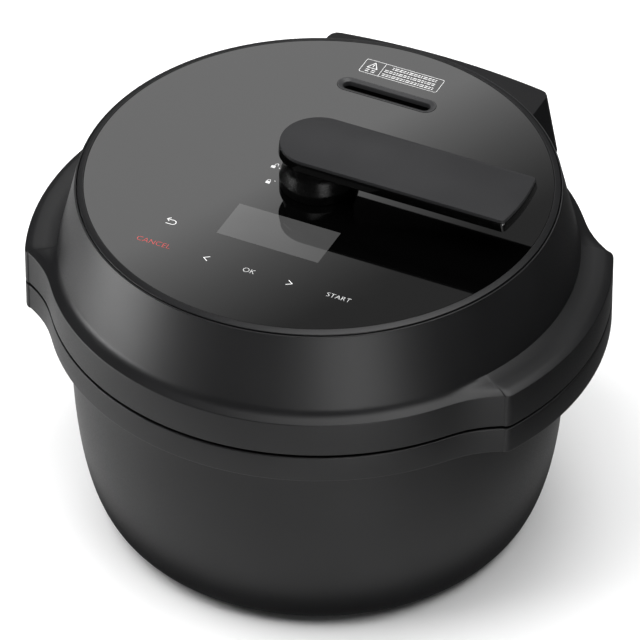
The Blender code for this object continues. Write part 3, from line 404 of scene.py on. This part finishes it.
def block(low, high):
    """A bmesh box between two corners."""
    low, high = Vector(low), Vector(high)
    work = bmesh.new()
    matrix = Matrix.Translation((low + high) / 2) @ Matrix.Diagonal((*(high - low), 1.0))
    bmesh.ops.create_cube(work, size=1.0, matrix=matrix)
    return work


rim_low, rim_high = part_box("body_rim")
shell_low, shell_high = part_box("outer_shell")
FLANGE_R = (rim_high.y - rim_low.y) / 2
BOWL_R, BOWL_TURN, BOWL_TOP = FLANGE_R - 0.0139, 0.0279, 0.130
FOOT_RING_R = BOWL_R - BOWL_TURN
SHELL_T = 0.0025


def bowl_radius(z):
    """Outside radius of the bowl at a height."""
    depth = min(max((BOWL_TOP - z) / (BOWL_TOP - 0.002), 0.0), 1.0)
    return FOOT_RING_R + BOWL_TURN * math.cos(math.asin(depth ** (1 / 0.884))) ** 0.884


bowl_heights = [BOWL_TOP - (BOWL_TOP - shell_low.z - 0.0009) * (i / 44) ** 0.8 for i in range(45)]
NECK_FLARE, NECK_STEPS = 0.0020, 8
neck = [(BOWL_R + NECK_FLARE * (i / NECK_STEPS) ** 2, BOWL_TOP + (shell_high.z - BOWL_TOP) * i / NECK_STEPS)
        for i in range(NECK_STEPS, 0, -1)]
outside = neck + [(bowl_radius(z), z) for z in bowl_heights] + [(FOOT_RING_R - 0.0008, shell_low.z)]
inside = [(FOOT_RING_R - 0.006, shell_low.z), (FOOT_RING_R - 0.006, shell_low.z + SHELL_T)]
inside += [(bowl_radius(z) - SHELL_T * 1.3, z) for z in reversed(bowl_heights) if z > shell_low.z + 0.006]
inside += [(BOWL_R - SHELL_T, shell_high.z)]
shell = piece("bowl", turn_work(outside + inside), shell_plastic, "root", ["outer_shell"])
inlet_low, inlet_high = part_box("power_inlet")
cut_away(shell, block((inlet_low.x - 0.0003, inlet_low.y - 0.01, inlet_low.z - 0.0003),
                      (inlet_high.x + 0.0003, inlet_high.y + 0.05, inlet_high.z + 0.0003)), "inlet_window")

# Body rim: the moulded collar over the bowl, with a solid carrying grip on each side.
# Its edges are lightly broken, and a shadow gap parts it from the lid.
EAR_REACH, EAR_FACE, EAR_ROUND, BLEND_END = rim_high.x - AXIS.x - FLANGE_R, 24.0, 1.8, 38.0


def grip_reach(angle):
    """How far a grip stands out beyond the round flange, at an angle in degrees."""
    turn = abs((angle + 90) % 180 - 90)
    if turn <= EAR_FACE:
        return EAR_REACH
    if turn <= EAR_FACE + EAR_ROUND:
        share = (turn - EAR_FACE) / EAR_ROUND
        return EAR_REACH - 0.0025 * (1 - math.sqrt(1 - share ** 2))
    share = max((BLEND_END - turn) / (BLEND_END - EAR_FACE - EAR_ROUND), 0.0)
    return (EAR_REACH - 0.0025) * share ** 2.5


def grip_angles():
    """Angles round the flange, close together at the grips' corners."""
    quarter = [i * 2.0 for i in range(12)] + [EAR_FACE + EAR_ROUND * math.sin(i * math.pi / 16)
                                              for i in range(9)]
    quarter += [EAR_FACE + EAR_ROUND + 0.6 + i * 0.72 for i in range(17)]
    quarter += [BLEND_END + i * 2.0 for i in range(1, 27)]
    half = quarter + [180 - a for a in reversed(quarter[1:-1])]
    return half + [360 - a for a in [180.0] + list(reversed(half[1:]))]


def grip_work(profile, weight):
    """A profile spun round the axis, then drawn out to the grips where weight(radius) says so."""
    angles = sorted(set(round(a % 360, 6) for a in grip_angles()))
    work = bmesh.new()
    verts = [work.verts.new((r, 0.0, z)) for r, z in profile]
    edges = [work.edges.new(pair) for pair in zip(verts, verts[1:])]
    edges.append(work.edges.new((verts[-1], verts[0])))
    bmesh.ops.spin(work, geom=verts + edges, cent=(0, 0, 0), axis=(0, 0, 1), angle=math.tau,
                   steps=len(angles), use_merge=True)
    bmesh.ops.remove_doubles(work, verts=work.verts, dist=0.0000005)
    for vert in work.verts:
        radius = math.hypot(vert.co.x, vert.co.y)
        step = round(math.atan2(vert.co.y, vert.co.x) / math.tau * len(angles)) % len(angles)
        angle = angles[step]
        radius += grip_reach(angle) * weight(radius)
        vert.co.x = radius * math.cos(math.radians(angle))
        vert.co.y = radius * math.sin(math.radians(angle))
    bmesh.ops.translate(work, verts=work.verts, vec=(AXIS.x, AXIS.y, 0.0))
    bmesh.ops.recalc_face_normals(work, faces=work.faces)
    return work


RIM_HOLE_R = (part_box("lock_ring")[1].x - AXIS.x) + 0.002
rim_profile = soften([(FLANGE_R, rim_high.z, 0.0009), (FLANGE_R, rim_low.z, 0.0012),
                      (RIM_HOLE_R, rim_low.z, 0.0005), (RIM_HOLE_R, rim_high.z, 0.0009)])
piece("rim_with_grips", grip_work(rim_profile, lambda r: 1.0 if r > FLANGE_R - 0.004 else 0.0),
      shell_plastic, "root", ["body_rim"])

# Hinge housing: the block moulded behind the rim, which carries the two steel pins. The springs
# are wound wire, and the mains inlet below is pressed into the shell.


def edged_copy(node, name, finish, body, width, sharp=30.0):
    """A copy of a carried-over piece with its corners broken."""
    work = bmesh.new()
    work.from_mesh(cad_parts[node].data)
    bmesh.ops.remove_doubles(work, verts=work.verts, dist=0.00001)
    bmesh.ops.dissolve_limit(work, angle_limit=math.radians(1.0), verts=work.verts, edges=work.edges)
    made = piece(name, work, finish, body, [node], sharp=sharp)
    bevel = made.modifiers.new("broken_edges", "BEVEL")
    bevel.width = width
    bevel.segments = 3
    bevel.limit_method = "ANGLE"
    bevel.angle_limit = math.radians(40.0)
    bevel.use_clamp_overlap = True
    bevel.harden_normals = True
    return made


edged_copy("hinge_housing", "hinge_block", shell_plastic, "root", 0.0006)
edged_copy("power_inlet", "inlet_body", base_plastic, "root", 0.0005)
repaint(plain_steel, "hinge_pin_left", "hinge_pin_right", "hinge_spring_left", "hinge_spring_right",
        "hinge_bracket_left", "hinge_bracket_right")

# Liner, lug ring and pot: a spun aluminium liner, a stamped steel ring with eight lugs, and the
# removable pot of polished stainless steel with a rolled rim.
pot_low, pot_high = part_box("inner_pot")
POT_RIM_R = pot_high.x - AXIS.x
POT_R, POT_T = 0.118, 0.0015
pot_profile = soften([(0.0, pot_low.z + POT_T, 0), (POT_R, pot_low.z + POT_T, 0.016),
                      (POT_R, pot_high.z, 0.0016), (POT_RIM_R, pot_high.z, 0.0006),
                      (POT_RIM_R, pot_high.z - POT_T, 0.0006),
                      (POT_R + POT_T, pot_high.z - POT_T, 0.0006), (POT_R + POT_T, pot_low.z, 0.0175),
                      (0.0, pot_low.z, 0)], steps=8, closed=False)
# Spun metal: fine rings round the axis, which turn a highlight into a fan.
spun_steel = brushed("spun stainless steel", "c9c9cb", 0.26, 0.8)
spun_aluminium = brushed("spun aluminium liner", "b9b9bb", 0.36, 1.2)
cast_aluminium = grained("die-cast aluminium", "a9a9ab", "bcbcbe", 0.42, 1.5, 0.02, metallic=1.0)
piece("pot", turn_work(pot_profile, closed=False), spun_steel, "root", ["inner_pot"])
repaint(spun_aluminium, "inner_liner")
repaint(cast_aluminium, "heating_plate", "temperature_sensor")
repaint(plain_steel, "sensor_bracket", "heating_element")
spring_work = bmesh.new()
spring_work.from_mesh(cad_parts["sensor_spring"].data)
contact_spring = piece("contact_spring", spring_work, plain_steel, "root", ["sensor_spring"], sharp=60.0)
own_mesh(contact_spring)


def lug(work, inner, outer, middle, span, low, high, steps=8):
    """A stamped block between two radii, spanning some degrees, with its edges broken."""
    block_work = bmesh.new()
    angles = [math.radians(middle - span / 2 + span * i / steps) for i in range(steps + 1)]
    outline = [(outer * math.cos(a), outer * math.sin(a)) for a in angles]
    outline += [(inner * math.cos(a), inner * math.sin(a)) for a in reversed(angles)]
    floor_verts = [block_work.verts.new((AXIS.x + x, AXIS.y + y, low)) for x, y in outline]
    top_verts = [block_work.verts.new((AXIS.x + x, AXIS.y + y, high)) for x, y in outline]
    block_work.faces.new(floor_verts)
    block_work.faces.new(top_verts)
    for i in range(len(outline)):
        block_work.faces.new((floor_verts[i - 1], floor_verts[i], top_verts[i], top_verts[i - 1]))
    bmesh.ops.recalc_face_normals(block_work, faces=block_work.faces)
    sharp_edges = [e for e in block_work.edges if e.calc_face_angle(0.0) > math.radians(40)]
    bmesh.ops.bevel(block_work, geom=sharp_edges, offset=0.0005, segments=2, affect="EDGES")
    held = bpy.data.meshes.new("lug")
    block_work.to_mesh(held)
    block_work.free()
    work.from_mesh(held)
    bpy.data.meshes.remove(held)


lug_low, lug_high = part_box("lug_ring")
LUG_TIP_R, LUG_RING_R, LINER_R = lug_high.x - AXIS.x, POT_RIM_R + 0.002, POT_R + 0.006
LUG_COUNT, LUG_SPAN = 8, 20.0
lug_work = turn_work(soften([(LUG_RING_R, lug_high.z, 0.0005), (LUG_RING_R, lug_low.z, 0.0005),
                             (LINER_R, lug_low.z, 0.0005), (LINER_R, lug_high.z, 0.0005)]))
for i in range(LUG_COUNT):
    lug(lug_work, LUG_RING_R - 0.002, LUG_TIP_R, 360 / LUG_COUNT * (i + 0.5), LUG_SPAN,
        (lug_low.z + lug_high.z) / 2 + 0.0001, lug_high.z - 0.0001)
piece("ring_of_lugs", lug_work, plain_steel, "root", ["lug_ring"])

# Electrics: a green epoxy-glass board with its relay and transformer, and the mains inlet
# moulded in black with three brass pins.
# Drawn brass shines along its length, and epoxy glass has a faint weave-like mottle.
brass_metal = brushed("drawn brass", "b38f4d", 0.3, 0.7, (9, 1, 1))
board_green = grained("green epoxy glass board", "12402a", "1a5236", 0.45, 2.0, 0.01)
repaint(board_green, "power_board", "touch_board")
repaint(base_plastic, "relay")
repaint(brass_metal, "transformer", "inlet_pin_1", "inlet_pin_2", "inlet_pin_3", "vent_solenoid",
        "spindle_bush")

# Lid shell: the sloping shoulder and the flange with its two grips, moulded in one piece in the
# same textured plastic. The shoulder runs into the flange in a round valley.
lid_low, lid_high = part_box("lid_shell")
bezel_low, bezel_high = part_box("top_bezel")
BEZEL_R = bezel_high.x - AXIS.x
LID_Z, LID_TOP = lid_low.z, rim_high.z + 0.0255
LIP_R, LIP_Z = BEZEL_R + 0.0013, lid_high.z
VALLEY_R, VALLEY_Z = FLANGE_R - 0.0064, LID_TOP + 0.0043
lid_profile = soften([
    (LIP_R, LIP_Z, 0.0006), (VALLEY_R - 0.0002, VALLEY_Z, 0.0100), (FLANGE_R, LID_TOP, 0.0009),
    (FLANGE_R, LID_Z, 0.0009), (FLANGE_R - 0.003, LID_Z, 0.0005), (FLANGE_R - 0.003, LID_TOP - 0.003, 0.001),
    (VALLEY_R - 0.0045, LID_TOP - 0.0022, 0.001), (BEZEL_R - 0.0005, bezel_low.z - 0.0029, 0.0005),
    (BEZEL_R - 0.0090, bezel_low.z - 0.0029, 0), (BEZEL_R - 0.0090, bezel_low.z - 0.0003, 0),
    (BEZEL_R + 0.0003, bezel_low.z - 0.0003, 0), (BEZEL_R + 0.0003, LIP_Z, 0.0003)], steps=6)


def lid_weight(radius):
    """The flange's sides follow the grips; its top fans out from the valley to the edge."""
    if radius > FLANGE_R - 0.0042:
        return 1.0
    return max((radius - VALLEY_R) / (FLANGE_R - 0.0042 - VALLEY_R), 0.0) if radius > VALLEY_R else 0.0


lid = piece("lid_cover", grip_work(lid_profile, lid_weight), shell_plastic, "lid", ["lid_shell"])
bracket_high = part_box("hinge_bracket_right")[1]
bracket_reach = bracket_high.x + 0.005
cut_away(lid, block((-bracket_reach, AXIS.y + 0.10, bracket_high.z - 0.0085),
                    (bracket_reach, AXIS.y + 0.19, bracket_high.z + 0.0015)), "bracket_way")

# Rear cover: the hump over the hinge, moulded in black ABS and clipped to the lid shell. It is
# flatter and duller than the shell, with drafted sides and soft corners.
hump_plastic = grained("matt black ABS", "0d0d0e", "151516", 0.55, 0.9, 0.012, specular=0.15)
edged_copy("rear_cover", "hump", hump_plastic, "lid", 0.0014)

# Top bezel: a narrow ring moulded in black nylon that holds the glass down, clipped into the lid
# shell. Its satin face slopes to a small bright chamfer outside.
satin_ring = grained("satin black nylon ring", "101011", "161617", 0.4, 0.7, 0.006, specular=0.35)
GLASS_R = glass_high.x - AXIS.x
bezel_profile = soften([
    (BEZEL_R - 0.0042, GLASS_Z + 0.0003, 0.0003), (BEZEL_R - 0.0003, GLASS_Z - 0.0011, 0.0006),
    (BEZEL_R, bezel_low.z, 0.0003), (GLASS_R - 0.0045, bezel_low.z, 0),
    (GLASS_R - 0.0045, GLASS_Z - 0.0033, 0), (BEZEL_R - 0.0042, GLASS_Z - 0.0033, 0)])
piece("glass_ring", turn_work(bezel_profile), satin_ring, "lid", ["top_bezel"])

# Glass panel: toughened glass printed black behind, polished, with a round hole for the spindle
# and a slot for the steam.
glass_finish, tree, principled = new_finish("black back-printed glass", "020202", 0.03, 0.0, 1.52)
place = add(tree, "ShaderNodeTexCoord").outputs["Object"]
smear = add(tree, "ShaderNodeTexNoise", {"Vector": place, "Scale": 28.0, "Detail": 4.0})
wipe = add(tree, "ShaderNodeMapRange", {"Value": smear.outputs["Fac"], "From Min": 0.35, "From Max": 0.75,
                                        "To Min": 0.025, "To Max": 0.05})
tree.links.new(wipe.outputs["Result"], principled.inputs["Roughness"])


def slot_points(half, radius, steps=16):
    """A slot with round ends, centred on the steam opening."""
    centre = Vector(vent_centre)
    right = [(math.cos(a) * radius + half - radius, math.sin(a) * radius)
             for a in [math.pi * (i / steps - 0.5) for i in range(steps + 1)]]
    whole = right + [(-x, -y) for x, y in right]
    return [(centre.x + x, centre.y + y) for x, y in whole]


def circle_points(radius, centre, count):
    return [(centre[0] + radius * math.cos(math.tau * i / count),
             centre[1] + radius * math.sin(math.tau * i / count)) for i in range(count)]


def sheet_work(outline, low, high, holes=()):
    """A flat sheet between two heights, from an outline and its holes."""
    work = bmesh.new()
    edges = []
    for loop in (outline, *holes):
        verts = [work.verts.new((x, y, low)) for x, y in loop]
        edges += [work.edges.new((verts[i - 1], verts[i])) for i in range(len(verts))]
    filled = bmesh.ops.triangle_fill(work, edges=edges, use_beauty=True, use_dissolve=False)
    faces = [f for f in filled["geom"] if isinstance(f, bmesh.types.BMFace)]
    raised = bmesh.ops.extrude_face_region(work, geom=faces)
    tops = [v for v in raised["geom"] if isinstance(v, bmesh.types.BMVert)]
    bmesh.ops.translate(work, verts=tops, vec=(0.0, 0.0, high - low))
    bmesh.ops.recalc_face_normals(work, faces=work.faces)
    return work


vent_low, vent_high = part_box("vent_frame")
vent_centre = ((vent_low + vent_high) / 2).xy
VENT_HALF, VENT_R = (vent_high.x - vent_low.x) / 2, (vent_high.y - vent_low.y) / 2
glass_work = sheet_work(circle_points(GLASS_R, AXIS, STEPS), glass_low.z, GLASS_Z,
                        [circle_points(0.012, AXIS, 48), slot_points(VENT_HALF + 0.0003, VENT_R + 0.0003)])
piece("glass_top", glass_work, glass_finish, "lid", ["glass_panel"], sharp=20.0)

# Steam slot: a moulded collar let into the glass. Its broad lip slopes down to the slot, which
# opens into the vent duct below.
vent_work = bmesh.new()
rings = []
for inset, z in ((0.0, vent_low.z), (0.0, GLASS_Z + 0.0002), (0.0004, GLASS_Z + 0.0003),
                 (0.0008, GLASS_Z + 0.0001), (0.0031, GLASS_Z - 0.0006), (0.0034, GLASS_Z - 0.0008),
                 (0.0036, GLASS_Z - 0.0013), (0.0036, vent_low.z)):
    verts = [vent_work.verts.new((x, y, z)) for x, y in slot_points(VENT_HALF - inset, VENT_R - inset * 0.8)]
    rings.append([vent_work.edges.new((verts[i - 1], verts[i])) for i in range(len(verts))])
for lower, upper in zip(rings, rings[1:] + rings[:1]):
    bmesh.ops.bridge_loops(vent_work, edges=lower + upper)
bmesh.ops.recalc_face_normals(vent_work, faces=vent_work.faces)
collar_plastic = grained("satin grey-black collar", "2e2e2f", "363637", 0.4, 0.6, 0.006, specular=0.35)
piece("steam_collar", vent_work, collar_plastic, "lid", ["vent_frame"], sharp=50.0)
repaint(base_plastic, "vent_duct", "lid_frame", "lid_base_ring")

# Printing on the glass: pale ceramic ink for the keys and signs, red for the key that stops it.
# The display looks out through a clear patch in the black print.
PRINT_Z = GLASS_Z + 0.00006


def ribbon(work, points, width, closed=False):
    """A flat printed line of an even width along a run of points."""
    spots = [Vector(p) for p in points]
    count = len(spots)
    sides = []
    for i, spot in enumerate(spots):
        before = spots[i - 1] if i or closed else spot
        after = spots[(i + 1) % count] if i < count - 1 or closed else spot
        one = (spot - before).normalized() if spot != before else (after - spot).normalized()
        two = (after - spot).normalized() if spot != after else one
        normal = Vector((-one.y - two.y, one.x + two.x)).normalized()
        reach = width / 2 / max(normal.dot(Vector((-one.y, one.x))), 0.4)
        sides.append([work.verts.new((AXIS.x + spot.x + k * normal.x * reach,
                                      AXIS.y + spot.y + k * normal.y * reach, PRINT_Z)) for k in (1, -1)])
    for i in range(count if closed else count - 1):
        a, b = sides[i], sides[(i + 1) % count]
        work.faces.new((a[0], a[1], b[1], b[0]))


def patch(work, points):
    """A flat printed shape."""
    work.faces.new([work.verts.new((AXIS.x + x, AXIS.y + y, PRINT_Z)) for x, y in points])


def arc(centre, radius, start, end, steps=12):
    return [(centre[0] + radius * math.cos(math.radians(start + (end - start) * i / steps)),
             centre[1] + radius * math.sin(math.radians(start + (end - start) * i / steps)))
            for i in range(steps + 1)]


def lettering(work, words, x, y, height, spread=1.0):
    """Letters of the built-in face, centred on a spot of the glass."""
    curve = bpy.data.curves.new(words, "FONT")
    curve.body, curve.size, curve.align_x, curve.align_y = words, height / 0.7, "CENTER", "CENTER"
    curve.space_character = spread
    curve.resolution_u = 4
    curve.offset = -0.00013
    holder = bpy.data.objects.new(words, curve)
    bpy.context.scene.collection.objects.link(holder)
    bpy.context.view_layer.update()
    flat = bpy.data.meshes.new_from_object(holder.evaluated_get(bpy.context.evaluated_depsgraph_get()))
    flat.transform(Matrix.Translation((AXIS.x + x, AXIS.y + y, PRINT_Z)))
    work.from_mesh(flat)
    bpy.data.objects.remove(holder, do_unlink=True)
    bpy.data.curves.remove(curve)
    bpy.data.meshes.remove(flat)


def inked(name, work, finish):
    """Makes flat printing a piece on the glass, all facing up."""
    for face in work.faces:
        face.normal_update()
        if face.normal.z < 0:
            face.normal_flip()
    return piece(name, work, finish, "lid", sharp=30.0)


# Fired ceramic ink: opaque and even, a little duller than the glass round it.
pale_ink = grained("pale ceramic ink", "dcdcdc", "e6e6e6", 0.35, 0.8, 0.002)
red_ink = grained("red ceramic ink", "c03c3c", "cc4746", 0.4, 0.8, 0.002)
keys = bmesh.new()
KEY_Y, LINE = -0.0987, 0.0005
lettering(keys, "OK", 0.0, KEY_Y, 0.0041)
lettering(keys, "START", 0.0605, KEY_Y, 0.0039)
for x, way in ((-0.029, -1), (0.0275, 1)):
    ribbon(keys, [(x - way * 0.0016, KEY_Y + 0.0023), (x + way * 0.0018, KEY_Y),
                  (x - way * 0.0016, KEY_Y - 0.0023)], LINE)
back_x, back_y = -0.0644, -0.0753
ribbon(keys, [(back_x - 0.0032, back_y + 0.0016), (back_x + 0.0008, back_y + 0.0016)]
       + arc((back_x + 0.0012, back_y - 0.0005), 0.0021, 90, -90)
       + [(back_x - 0.0026, back_y - 0.0026)], LINE)
ribbon(keys, [(back_x - 0.0014, back_y + 0.0034), (back_x - 0.0034, back_y + 0.0016),
              (back_x - 0.0014, back_y - 0.0002)], LINE)
for x, y, dot_x, dot_y, open_shackle in ((-0.0320, 0.0020, -0.0278, 0.0014, True),
                                         (-0.0282, -0.0135, -0.0246, -0.0116, False)):
    patch(keys, [(x - 0.0014, y - 0.0019), (x + 0.0014, y - 0.0019), (x + 0.0014, y + 0.0004),
                 (x - 0.0014, y + 0.0004)])
    lift = 0.0010 if open_shackle else 0.0
    shift = 0.0014 if open_shackle else 0.0
    leg = 0.0006 if open_shackle else 0.0
    ribbon(keys, [(x + 0.0010 + shift, y + 0.0004 + leg)]
           + arc((x + shift, y + 0.0010 + lift), 0.0010, 0, 180, 8)
           + [(x - 0.0010 + shift, y + 0.0004)], 0.0004)
    patch(keys, circle_points(0.0004, (dot_x, dot_y), 12))
box_x, box_y, box_w, box_h, corner = 0.0, 0.1205, 0.0268, 0.0069, 0.0012
frame_line = []
for cx, cy, start in ((1, 1, 0), (-1, 1, 90), (-1, -1, 180), (1, -1, 270)):
    frame_line += arc((box_x + cx * (box_w - corner), box_y + cy * (box_h - corner)), corner,
                      start, start + 90, 4)
ribbon(keys, frame_line, 0.0003, closed=True)
ribbon(keys, [(-0.0135, box_y + box_h), (-0.0135, box_y - box_h)], 0.0003)
ribbon(keys, [(-0.0235, box_y - 0.0010), (-0.0168, box_y - 0.0010), (-0.02015, box_y + 0.0048)], 0.0005,
       closed=True)
ribbon(keys, [(-0.02015, box_y + 0.0030), (-0.02015, box_y + 0.0004)], 0.0005)
for row, (left, right) in enumerate(((-0.0080, 0.0240), (-0.0118, 0.0246), (-0.0118, 0.0246))):
    y, x = box_y + 0.0041 - row * 0.0041, left
    step = 0
    while x < right - 0.0014:
        long = 0.0011 + 0.0005 * ((step * 7 + row * 3) % 4)
        ribbon(keys, [(x, y + 0.0008), (x + long, y + 0.0008)], 0.0006)
        ribbon(keys, [(x, y - 0.0008), (x + long, y - 0.0008)], 0.0006)
        x += long + 0.0006
        step += 1
for x in (-0.0222, -0.0182):
    ribbon(keys, [(x - 0.0012, box_y - 0.0030), (x + 0.0012, box_y - 0.0030)], 0.0006)
    ribbon(keys, [(x - 0.0012, box_y - 0.0048), (x + 0.0012, box_y - 0.0048)], 0.0006)
inked("pale_printing", keys, pale_ink)
stop_key = bmesh.new()
lettering(stop_key, "CANCEL", -0.065, KEY_Y, 0.0042)
inked("red_printing", stop_key, red_ink)

window_finish, tree, principled = new_finish("clear patch over the display", "373737", 0.03, 0.0, 1.52)
place = add(tree, "ShaderNodeTexCoord").outputs["Object"]
haze = add(tree, "ShaderNodeTexNoise", {"Vector": place, "Scale": 40.0, "Detail": 2.0})
shade = add(tree, "ShaderNodeValToRGB", {"Fac": haze.outputs["Fac"]})
shade.color_ramp.elements[0].color, shade.color_ramp.elements[1].color = lit("363636"), lit("3d3d3d")
tree.links.new(shade.outputs["Color"], principled.inputs["Base Color"])
window = bmesh.new()
patch(window, [(-0.0345, -0.0735), (0.0345, -0.0735), (0.0345, -0.0410), (-0.0345, -0.0410)])
inked("display_window", window, window_finish)

# Handle: a glossy moulded arm on a round hub, with a satin cover let into its top.
# The polished sides lean out a little towards the glass.
# Polished ABS gives a mirror-like flank that ripples a little, and the satin cover stays even.
gloss_black, tree, principled = new_finish("polished black ABS", "050505", 0.09, 0.0, 1.5)
place = add(tree, "ShaderNodeTexCoord").outputs["Object"]
flow = add(tree, "ShaderNodeTexNoise", {"Vector": place, "Scale": 60.0, "Detail": 1.0})
ripple = add(tree, "ShaderNodeBump", {"Height": flow.outputs["Fac"], "Strength": 0.15, "Distance": 0.0003})
tree.links.new(ripple.outputs["Normal"], principled.inputs["Normal"])
satin_cover = grained("satin charcoal handle cover", "262627", "2c2c2d", 0.5, 0.6, 0.006, specular=0.1)
arm_low, arm_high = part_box("handle_arm")
cover_low, cover_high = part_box("handle_cover")
HALF_W, REACH = (arm_high.y - arm_low.y) / 2, arm_high.x - AXIS.x


def handle_points(inset, corner=0.0026):
    """Round about the spindle, straight sides, and a far end that follows the glass."""
    half, reach = HALF_W - inset, REACH - inset
    near = [(half * math.cos(a), half * math.sin(a)) for a in [math.pi * (0.5 + i / 32) for i in range(33)]]
    limit = math.asin((half - corner) / reach)
    end = [(reach * math.cos(a), reach * math.sin(a)) for a in [limit * (i / 8 - 1) for i in range(17)]]
    tip = end[0][0]
    turn = [(tip - corner * (1 - math.sin(a)), half - corner * (1 - math.cos(a)))
            for a in [math.pi / 2 * (1 - i / 6) for i in range(1, 7)]]
    outline = near + [(x, -y) for x, y in reversed(turn)] + end + turn
    return [(AXIS.x + x, AXIS.y + y) for x, y in outline]


def handle_slab(levels):
    """A slab from (height, inset) levels, closed at top and bottom."""
    work = bmesh.new()
    rings = []
    for z, inset in levels:
        verts = [work.verts.new((x, y, z)) for x, y in handle_points(inset)]
        rings.append([work.edges.new((verts[i - 1], verts[i])) for i in range(len(verts))])
    for lower, upper in zip(rings, rings[1:]):
        bmesh.ops.bridge_loops(work, edges=lower + upper)
    for ring in (rings[0], rings[-1]):
        bmesh.ops.contextual_create(work, geom=ring)
    bmesh.ops.recalc_face_normals(work, faces=work.faces)
    return work


slab_low = cover_high.z - 0.0086
hub_low, hub_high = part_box("handle_hub")
arm_levels = [(slab_low, 0.0012), (slab_low + 0.0002, 0.0005), (slab_low + 0.0007, 0.0001),
              (slab_low + 0.0012, 0.0), (arm_high.z - 0.0002, 0.0006), (arm_high.z, 0.0008)]
piece("handle_body", handle_slab(arm_levels), gloss_black, "lock", ["handle_arm"])
NECK_R, HUB_STEPS = 0.0216, 128
neck_top, neck_low = slab_low + 0.0005, hub_high.z + 0.0003
neck_profile = soften([(0.0, neck_top, 0), (NECK_R, neck_top, 0), (NECK_R, neck_low, 0.0003),
                       (0.0, neck_low, 0)], closed=False)
neck_work = turn_work(neck_profile, HUB_STEPS, closed=False)
piece("handle_neck", neck_work, gloss_black, "lock")
cover_levels = [(cover_low.z, 0.0008), (cover_low.z + 0.0004, 0.0008), (cover_high.z - 0.0005, 0.0010),
                (cover_high.z - 0.0002, 0.0011), (cover_high.z, 0.0014)]
piece("handle_plate", handle_slab(cover_levels), satin_cover, "lock", ["handle_cover"])
HUB_R = hub_high.x - AXIS.x
hub_black = grained("black moulded hub", "060606", "0b0b0b", 0.3, 0.7, 0.003, specular=0.3)
hub_profile = soften([(0.003, hub_high.z, 0), (NECK_R, hub_high.z, 0.0004), (NECK_R, GLASS_Z + 0.015, 0.012),
                      (HUB_R, GLASS_Z + 0.006, 0.004), (HUB_R, hub_low.z, 0.0003), (0.0083, hub_low.z, 0),
                      (0.0083, hub_high.z - 0.006, 0), (0.003, hub_high.z - 0.006, 0)], steps=8)
piece("hub", turn_work(hub_profile, HUB_STEPS), hub_black, "lock", ["handle_hub"])
repaint(plain_steel, "handle_screw", "spindle", "drive_plate")

# Locking ring: pressed steel, turned by the handle. Its eight tabs pass between the lugs of the
# body and slide under them.
lock_low, lock_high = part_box("lock_ring")
LOCK_OUT_R, LOCK_T, TAB_SPAN = lock_high.x - AXIS.x, 0.0025, 18.0
LOCK_R, LOCK_IN_R, UNDER_TOP = LOCK_OUT_R - LOCK_T, POT_RIM_R - 0.009, lock_high.z - LOCK_T
lock_work = turn_work(soften([
    (LOCK_OUT_R, lock_high.z, 0.0020), (LOCK_OUT_R, lock_low.z, 0.0006), (LOCK_R, lock_low.z, 0.0006),
    (LOCK_R, UNDER_TOP, 0.0005), (LOCK_IN_R, UNDER_TOP, 0.0005), (LOCK_IN_R, lock_high.z, 0.0005)]))
for i in range(LUG_COUNT):
    lug(lock_work, LUG_RING_R + 0.0045, LOCK_R + 0.001, 360 / LUG_COUNT * i, TAB_SPAN,
        lock_low.z + 0.0001, lock_low.z + 0.0045)
piece("ring_of_tabs", lock_work, plain_steel, "lock", ["lock_ring"])

# Pressure lid and its fittings: a pressed steel plate with a skirt, a silicone sealing ring, the
# removable inner lid on its knob, and the valves.
# Silicone is milky and soft-edged, with a broad dull sheen.
silicone = grained("translucent grey silicone", "8d9090", "9a9d9d", 0.45, 1.2, 0.01)
repaint(spun_steel, "pressure_lid", "inner_lid")
seal_low, seal_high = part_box("seal_ring")
SEAL_OUT = seal_high.x - AXIS.x
SEAL_IN = SEAL_OUT - 0.0125
seal_profile = soften([
    (SEAL_OUT, seal_high.z, 0.0008), (SEAL_OUT, seal_low.z, 0.0010), (SEAL_OUT - 0.0036, seal_low.z, 0.0008),
    (SEAL_OUT - 0.0040, seal_low.z + 0.0008, 0.0003), (SEAL_OUT - 0.0052, seal_low.z + 0.0008, 0.0003),
    (SEAL_OUT - 0.0056, seal_low.z, 0.0008), (SEAL_IN + 0.0022, seal_low.z, 0.0014),
    (SEAL_IN, seal_low.z + 0.0022, 0.0012), (SEAL_IN, seal_high.z, 0.0008)])
piece("lip_seal", turn_work(seal_profile), silicone, "lid", ["seal_ring"])
edged_copy("inner_lid_knob", "knob", base_plastic, "lid", 0.0008)
repaint(plain_steel, "exhaust_pipe", "anti_block_shield", "steam_weight", "float_pin")
repaint(gloss_black, "display_module")
